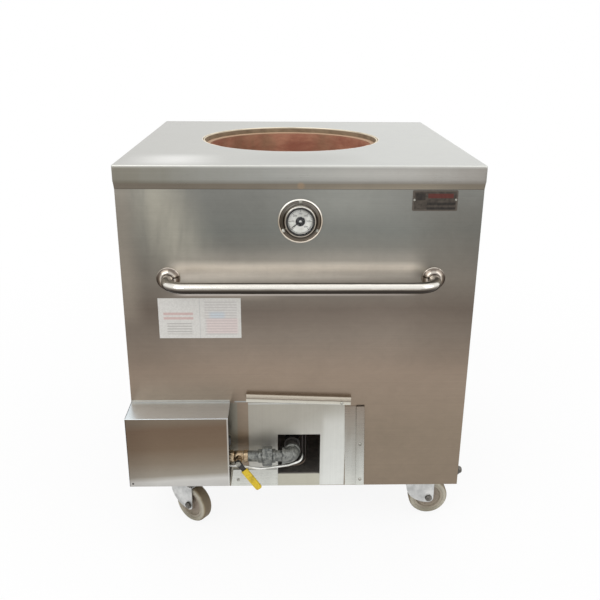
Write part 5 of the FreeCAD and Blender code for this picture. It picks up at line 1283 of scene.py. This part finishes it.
def forkSkin():
    # a strip bent over the wheel: its width at each height runs from the belly's ellipse to the eye's arc
    trail, axle, eye, crown, bend = (casterForm[key] for key in ("trail", "axle", "eye", "crown", "bend"))
    reach, deep = trail + casterForm["front"], casterForm["shoulder"] + eye
    corner = np.linspace(0, math.pi / 2, 6)
    low = axle - eye

    def strip(side, top, radius):
        # up one leg, over the crown and down the other
        rise = low + (top - radius - low) * np.linspace(0, 1, 26) ** 1.6
        up = np.concatenate([rise, top - radius + radius * np.sin(corner)[1:]])
        out = np.concatenate([np.full(26, -side), -side + radius - radius * np.cos(corner)[1:]])
        return np.concatenate([out, -out[::-1]]), np.concatenate([up, up[::-1]])

    outY, outZ = strip(casterForm["outside"], crown, bend)
    inY, inZ = strip(casterForm["inside"], crown - 3.0, bend - 3.0)
    share = np.linspace(0, 1, 13)[None, :]

    def sheet(y, z):
        # from the ellipse on the left to the arc on the right, in even shares
        hang = np.clip((axle + casterForm["shoulder"] - z) / deep, 0, 1)
        left = trail - reach * np.sqrt(np.maximum(1 - hang ** 2, 0))
        right = trail + np.where(z > axle, eye, np.sqrt(np.maximum(eye ** 2 - (axle - z) ** 2, 0)))
        x = left[:, None] + (right - left)[:, None] * share
        return np.stack([x, y[:, None] + 0 * x, z[:, None] + 0 * x], -1)

    points = np.concatenate([sheet(outY, outZ), sheet(inY, inZ)[:, ::-1]], 1)
    return {"points": points, "wrapColumns": True}


def tagReach(piece, centre, axis):
    # each point's distance from the axle's line, in millimetres, for the rubber's colour
    corners = np.zeros(len(piece.data.vertices) * 3)
    piece.data.vertices.foreach_get("co", corners)
    offset = corners.reshape(-1, 3) / mm - centre
    away = offset - (offset @ axis)[:, None] * axis
    layer = piece.data.attributes.new("reach", "FLOAT", "POINT")
    layer.data.foreach_set("value", np.linalg.norm(away, axis=1))


def makeCaster(name, x, y, heading):
    # everything is made square to the cabinet, then turned to its heading about the pin
    trail, axle, crown, low, pin, out = (casterForm[key] for key in (
        "trail", "axle", "crown", "raceLow", "pin", "outside"))
    place, hub = (x, y, 0), (trail, 0, axle)

    def placed(grids):
        return [moved(grid, place, "z", heading) for grid in grids]

    race = turnedGrid([(0, crown), (20.6, crown), (22.4, crown + 1.4), (24, crown + 4.6), (24, low),
                       (6, low), (6, pin), (0, pin)], (0, 0, 0), "z", 48)
    gridPiece(name + "_forkShell", placed([forkSkin(), race]),
              "zinc_plate", [name + "_fork"], 35, name + "_swivel")
    bolt = [(0, -out), (6, -out), (6, out), (0, out)]
    washer = [(0, out), (9.2, out), (9.2, out + 1.0), (0, out + 1.0)]
    nutEnd = [(0, out + 4.4), (6.6, out + 4.4), (5.6, out + 5.0), (0, out + 5.0)]
    headEnd = [(0, out + 4.6), (6.4, out + 4.6), (5.4, out + 6.0), (0, out + 6.0)]
    gridPiece(name + "_axleBolt", placed([
        turnedGrid(bolt, hub, "y", 32), turnedGrid(washer, hub, "-y", 36),
        hexNut(hub, "-y", out + 1.0, out + 4.4, 9.3), hexNut(hub, "y", out, out + 4.6, 9.3),
        turnedGrid(nutEnd, hub, "-y", 36), turnedGrid(headEnd, hub, "y", 36)]),
        "zinc_plate", [name + "_axle"], body=name + "_swivel", finish=boltSteel)
    spin = np.array(Matrix.Rotation(math.radians(heading), 3, "Z"))
    centre = spin @ np.array(hub) + np.array(place)
    for label, half, steps, slotName, node in (("_wheelCore", wheelHalf, 4, "wheel_core", "_wheel"),
                                               ("_tyreBand", tyreHalf, 5, "tyre_rubber", "_tyre")):
        grid = closedTurn(mirroredSection(half, steps), hub, "y", 72)
        piece = gridPiece(name + label, placed([grid]), slotName, [name + node], 35, name + "_roller")
        tagReach(piece, centre, spin @ np.array([0.0, 1.0, 0.0]))


for corner, (x, y, heading) in casters.items():
    makeCaster(corner, x, y, heading)
print("casters made")


def paleRays(flow):
    # 1 for what the eye, a mirror or glass sees, 0 for the light that falls on things
    seen, mirrored, through = (flow.node("ShaderNodeLightPath", output=k) for k in (0, 3, 6))
    return flow.math("MAXIMUM", flow.math("MAXIMUM", seen, mirrored), through)


floorForm = {"half": 30, "drop": 0.0006, "near": 0.8, "far": 2.4, "lift": 0.9}


def makeStage():
    # a pale floor, lifted towards white where it is seen, that keeps the shadow near the object and
    # reaches full white further off: the lift, and the rest of the way by the distance from the middle
    material, flow, shader = newFinish("paleFloor", Roughness=0.9)
    speck = noise(flow, 3.0)
    feed(flow, shader, Base_Color=mixed(flow, speck, (0.93, 0.93, 0.93), (0.97, 0.97, 0.97)))
    shader.inputs["Specular IOR Level"].default_value = 0.1
    lit = Flow(flow.tree, shader.outputs[0])
    white = flow.node("ShaderNodeEmission", {}, {"Color": (1, 1, 1, 1), "Strength": 1.0})
    place = flow.node("ShaderNodeTexCoord", output=3)
    away = flow.node("ShaderNodeVectorMath", {"operation": "LENGTH"}, {0: place}, 1)
    lift = floorForm["lift"]
    share = paleRays(flow) * (away.between(floorForm["near"], floorForm["far"]) * (1 - lift) + lift)
    both = flow.node("ShaderNodeMixShader", {}, {0: share, 1: lit, 2: white})
    out = next(n for n in flow.tree.nodes if n.type == "OUTPUT_MATERIAL")
    flow.tree.links.new(both.socket, out.inputs[0])
    half, drop = floorForm["half"], floorForm["drop"]
    mesh = bpy.data.meshes.new("floor")
    mesh.from_pydata([(x * half, y * half, -drop) for x, y in ((-1, -1), (1, -1), (1, 1), (-1, 1))],
                     [], [(0, 1, 2, 3)])
    mesh.materials.append(material)
    floor = bpy.data.objects.new("floor", mesh)
    bpy.context.scene.collection.objects.link(floor)


def makeWorld():
    # white where it is seen or mirrored, a softer pale light on everything else
    world = bpy.data.worlds.new("studio")
    bpy.context.scene.world = world
    world.use_nodes = True
    world.node_tree.nodes.clear()
    flow = Flow(world.node_tree)
    strength = paleRays(flow) * 0.35 + 0.65
    sky = flow.node("ShaderNodeBackground", {}, {"Color": (1, 1, 1, 1), "Strength": strength})
    out = world.node_tree.nodes.new("ShaderNodeOutputWorld")
    world.node_tree.links.new(sky.socket, out.inputs[0])


# places, aims and sizes in metres, power in watts
lamps = {
    "keyLamp": {"place": (-2.0, -3.0, 2.6), "aim": (0, 0, 0.5), "size": 2.6, "power": 40},
    "fillLamp": {"place": (2.8, -2.0, 2.0), "aim": (0, 0, 0.5), "size": 2.4, "power": 18},
    "topLamp": {"place": (0.0, 0.6, 4.6), "aim": (0, 0.1, 0.9), "size": 7.0, "power": 90},
    "lowLamp": {"place": (0.4, -2.4, 0.3), "aim": (0, 0, 0.2), "size": 0.8, "power": 1.6},
}


def softLamp(name, place, aim, size, power):
    lamp = bpy.data.lights.new(name, "AREA")
    lamp.shape, lamp.size, lamp.energy = "SQUARE", size, power
    holder = bpy.data.objects.new(name, lamp)
    bpy.context.scene.collection.objects.link(holder)
    holder.location = place
    holder.rotation_euler = (Vector(aim) - Vector(place)).to_track_quat("-Z", "Y").to_euler()


# the place in metres, the angles in degrees, the focal length and the frame in pixels
view = {"place": (-0.0429, -1.94065, 1.2111), "down": 20.19, "right": 1.58, "roll": 0.43,
        "focal": 731.3, "frame": 600, "sensor": 36.0}


def makeCamera():
    # forward from the two angles, right and up square to it, then a small roll about it
    down, side, roll = (math.radians(view[key]) for key in ("down", "right", "roll"))
    forward = Vector((math.sin(side) * math.cos(down), math.cos(side) * math.cos(down), -math.sin(down)))
    right = Vector((math.cos(side), -math.sin(side), 0))
    up = right.cross(forward)
    right, up = (math.cos(roll) * right + math.sin(roll) * up, math.cos(roll) * up - math.sin(roll) * right)
    lens = bpy.data.cameras.new("camera")
    lens.sensor_width = view["sensor"]
    lens.lens = view["focal"] / view["frame"] * lens.sensor_width
    camera = bpy.data.objects.new("camera", lens)
    bpy.context.scene.collection.objects.link(camera)
    turn = Matrix((right, up, -forward)).transposed().to_4x4()
    camera.matrix_world = Matrix.Translation(view["place"]) @ turn
    bpy.context.scene.camera = camera


makeStage()
makeWorld()
for name, lamp in lamps.items():
    softLamp(name, **lamp)
makeCamera()
bpy.context.scene.view_settings.view_transform = "Standard"
print("stage, light and camera made")
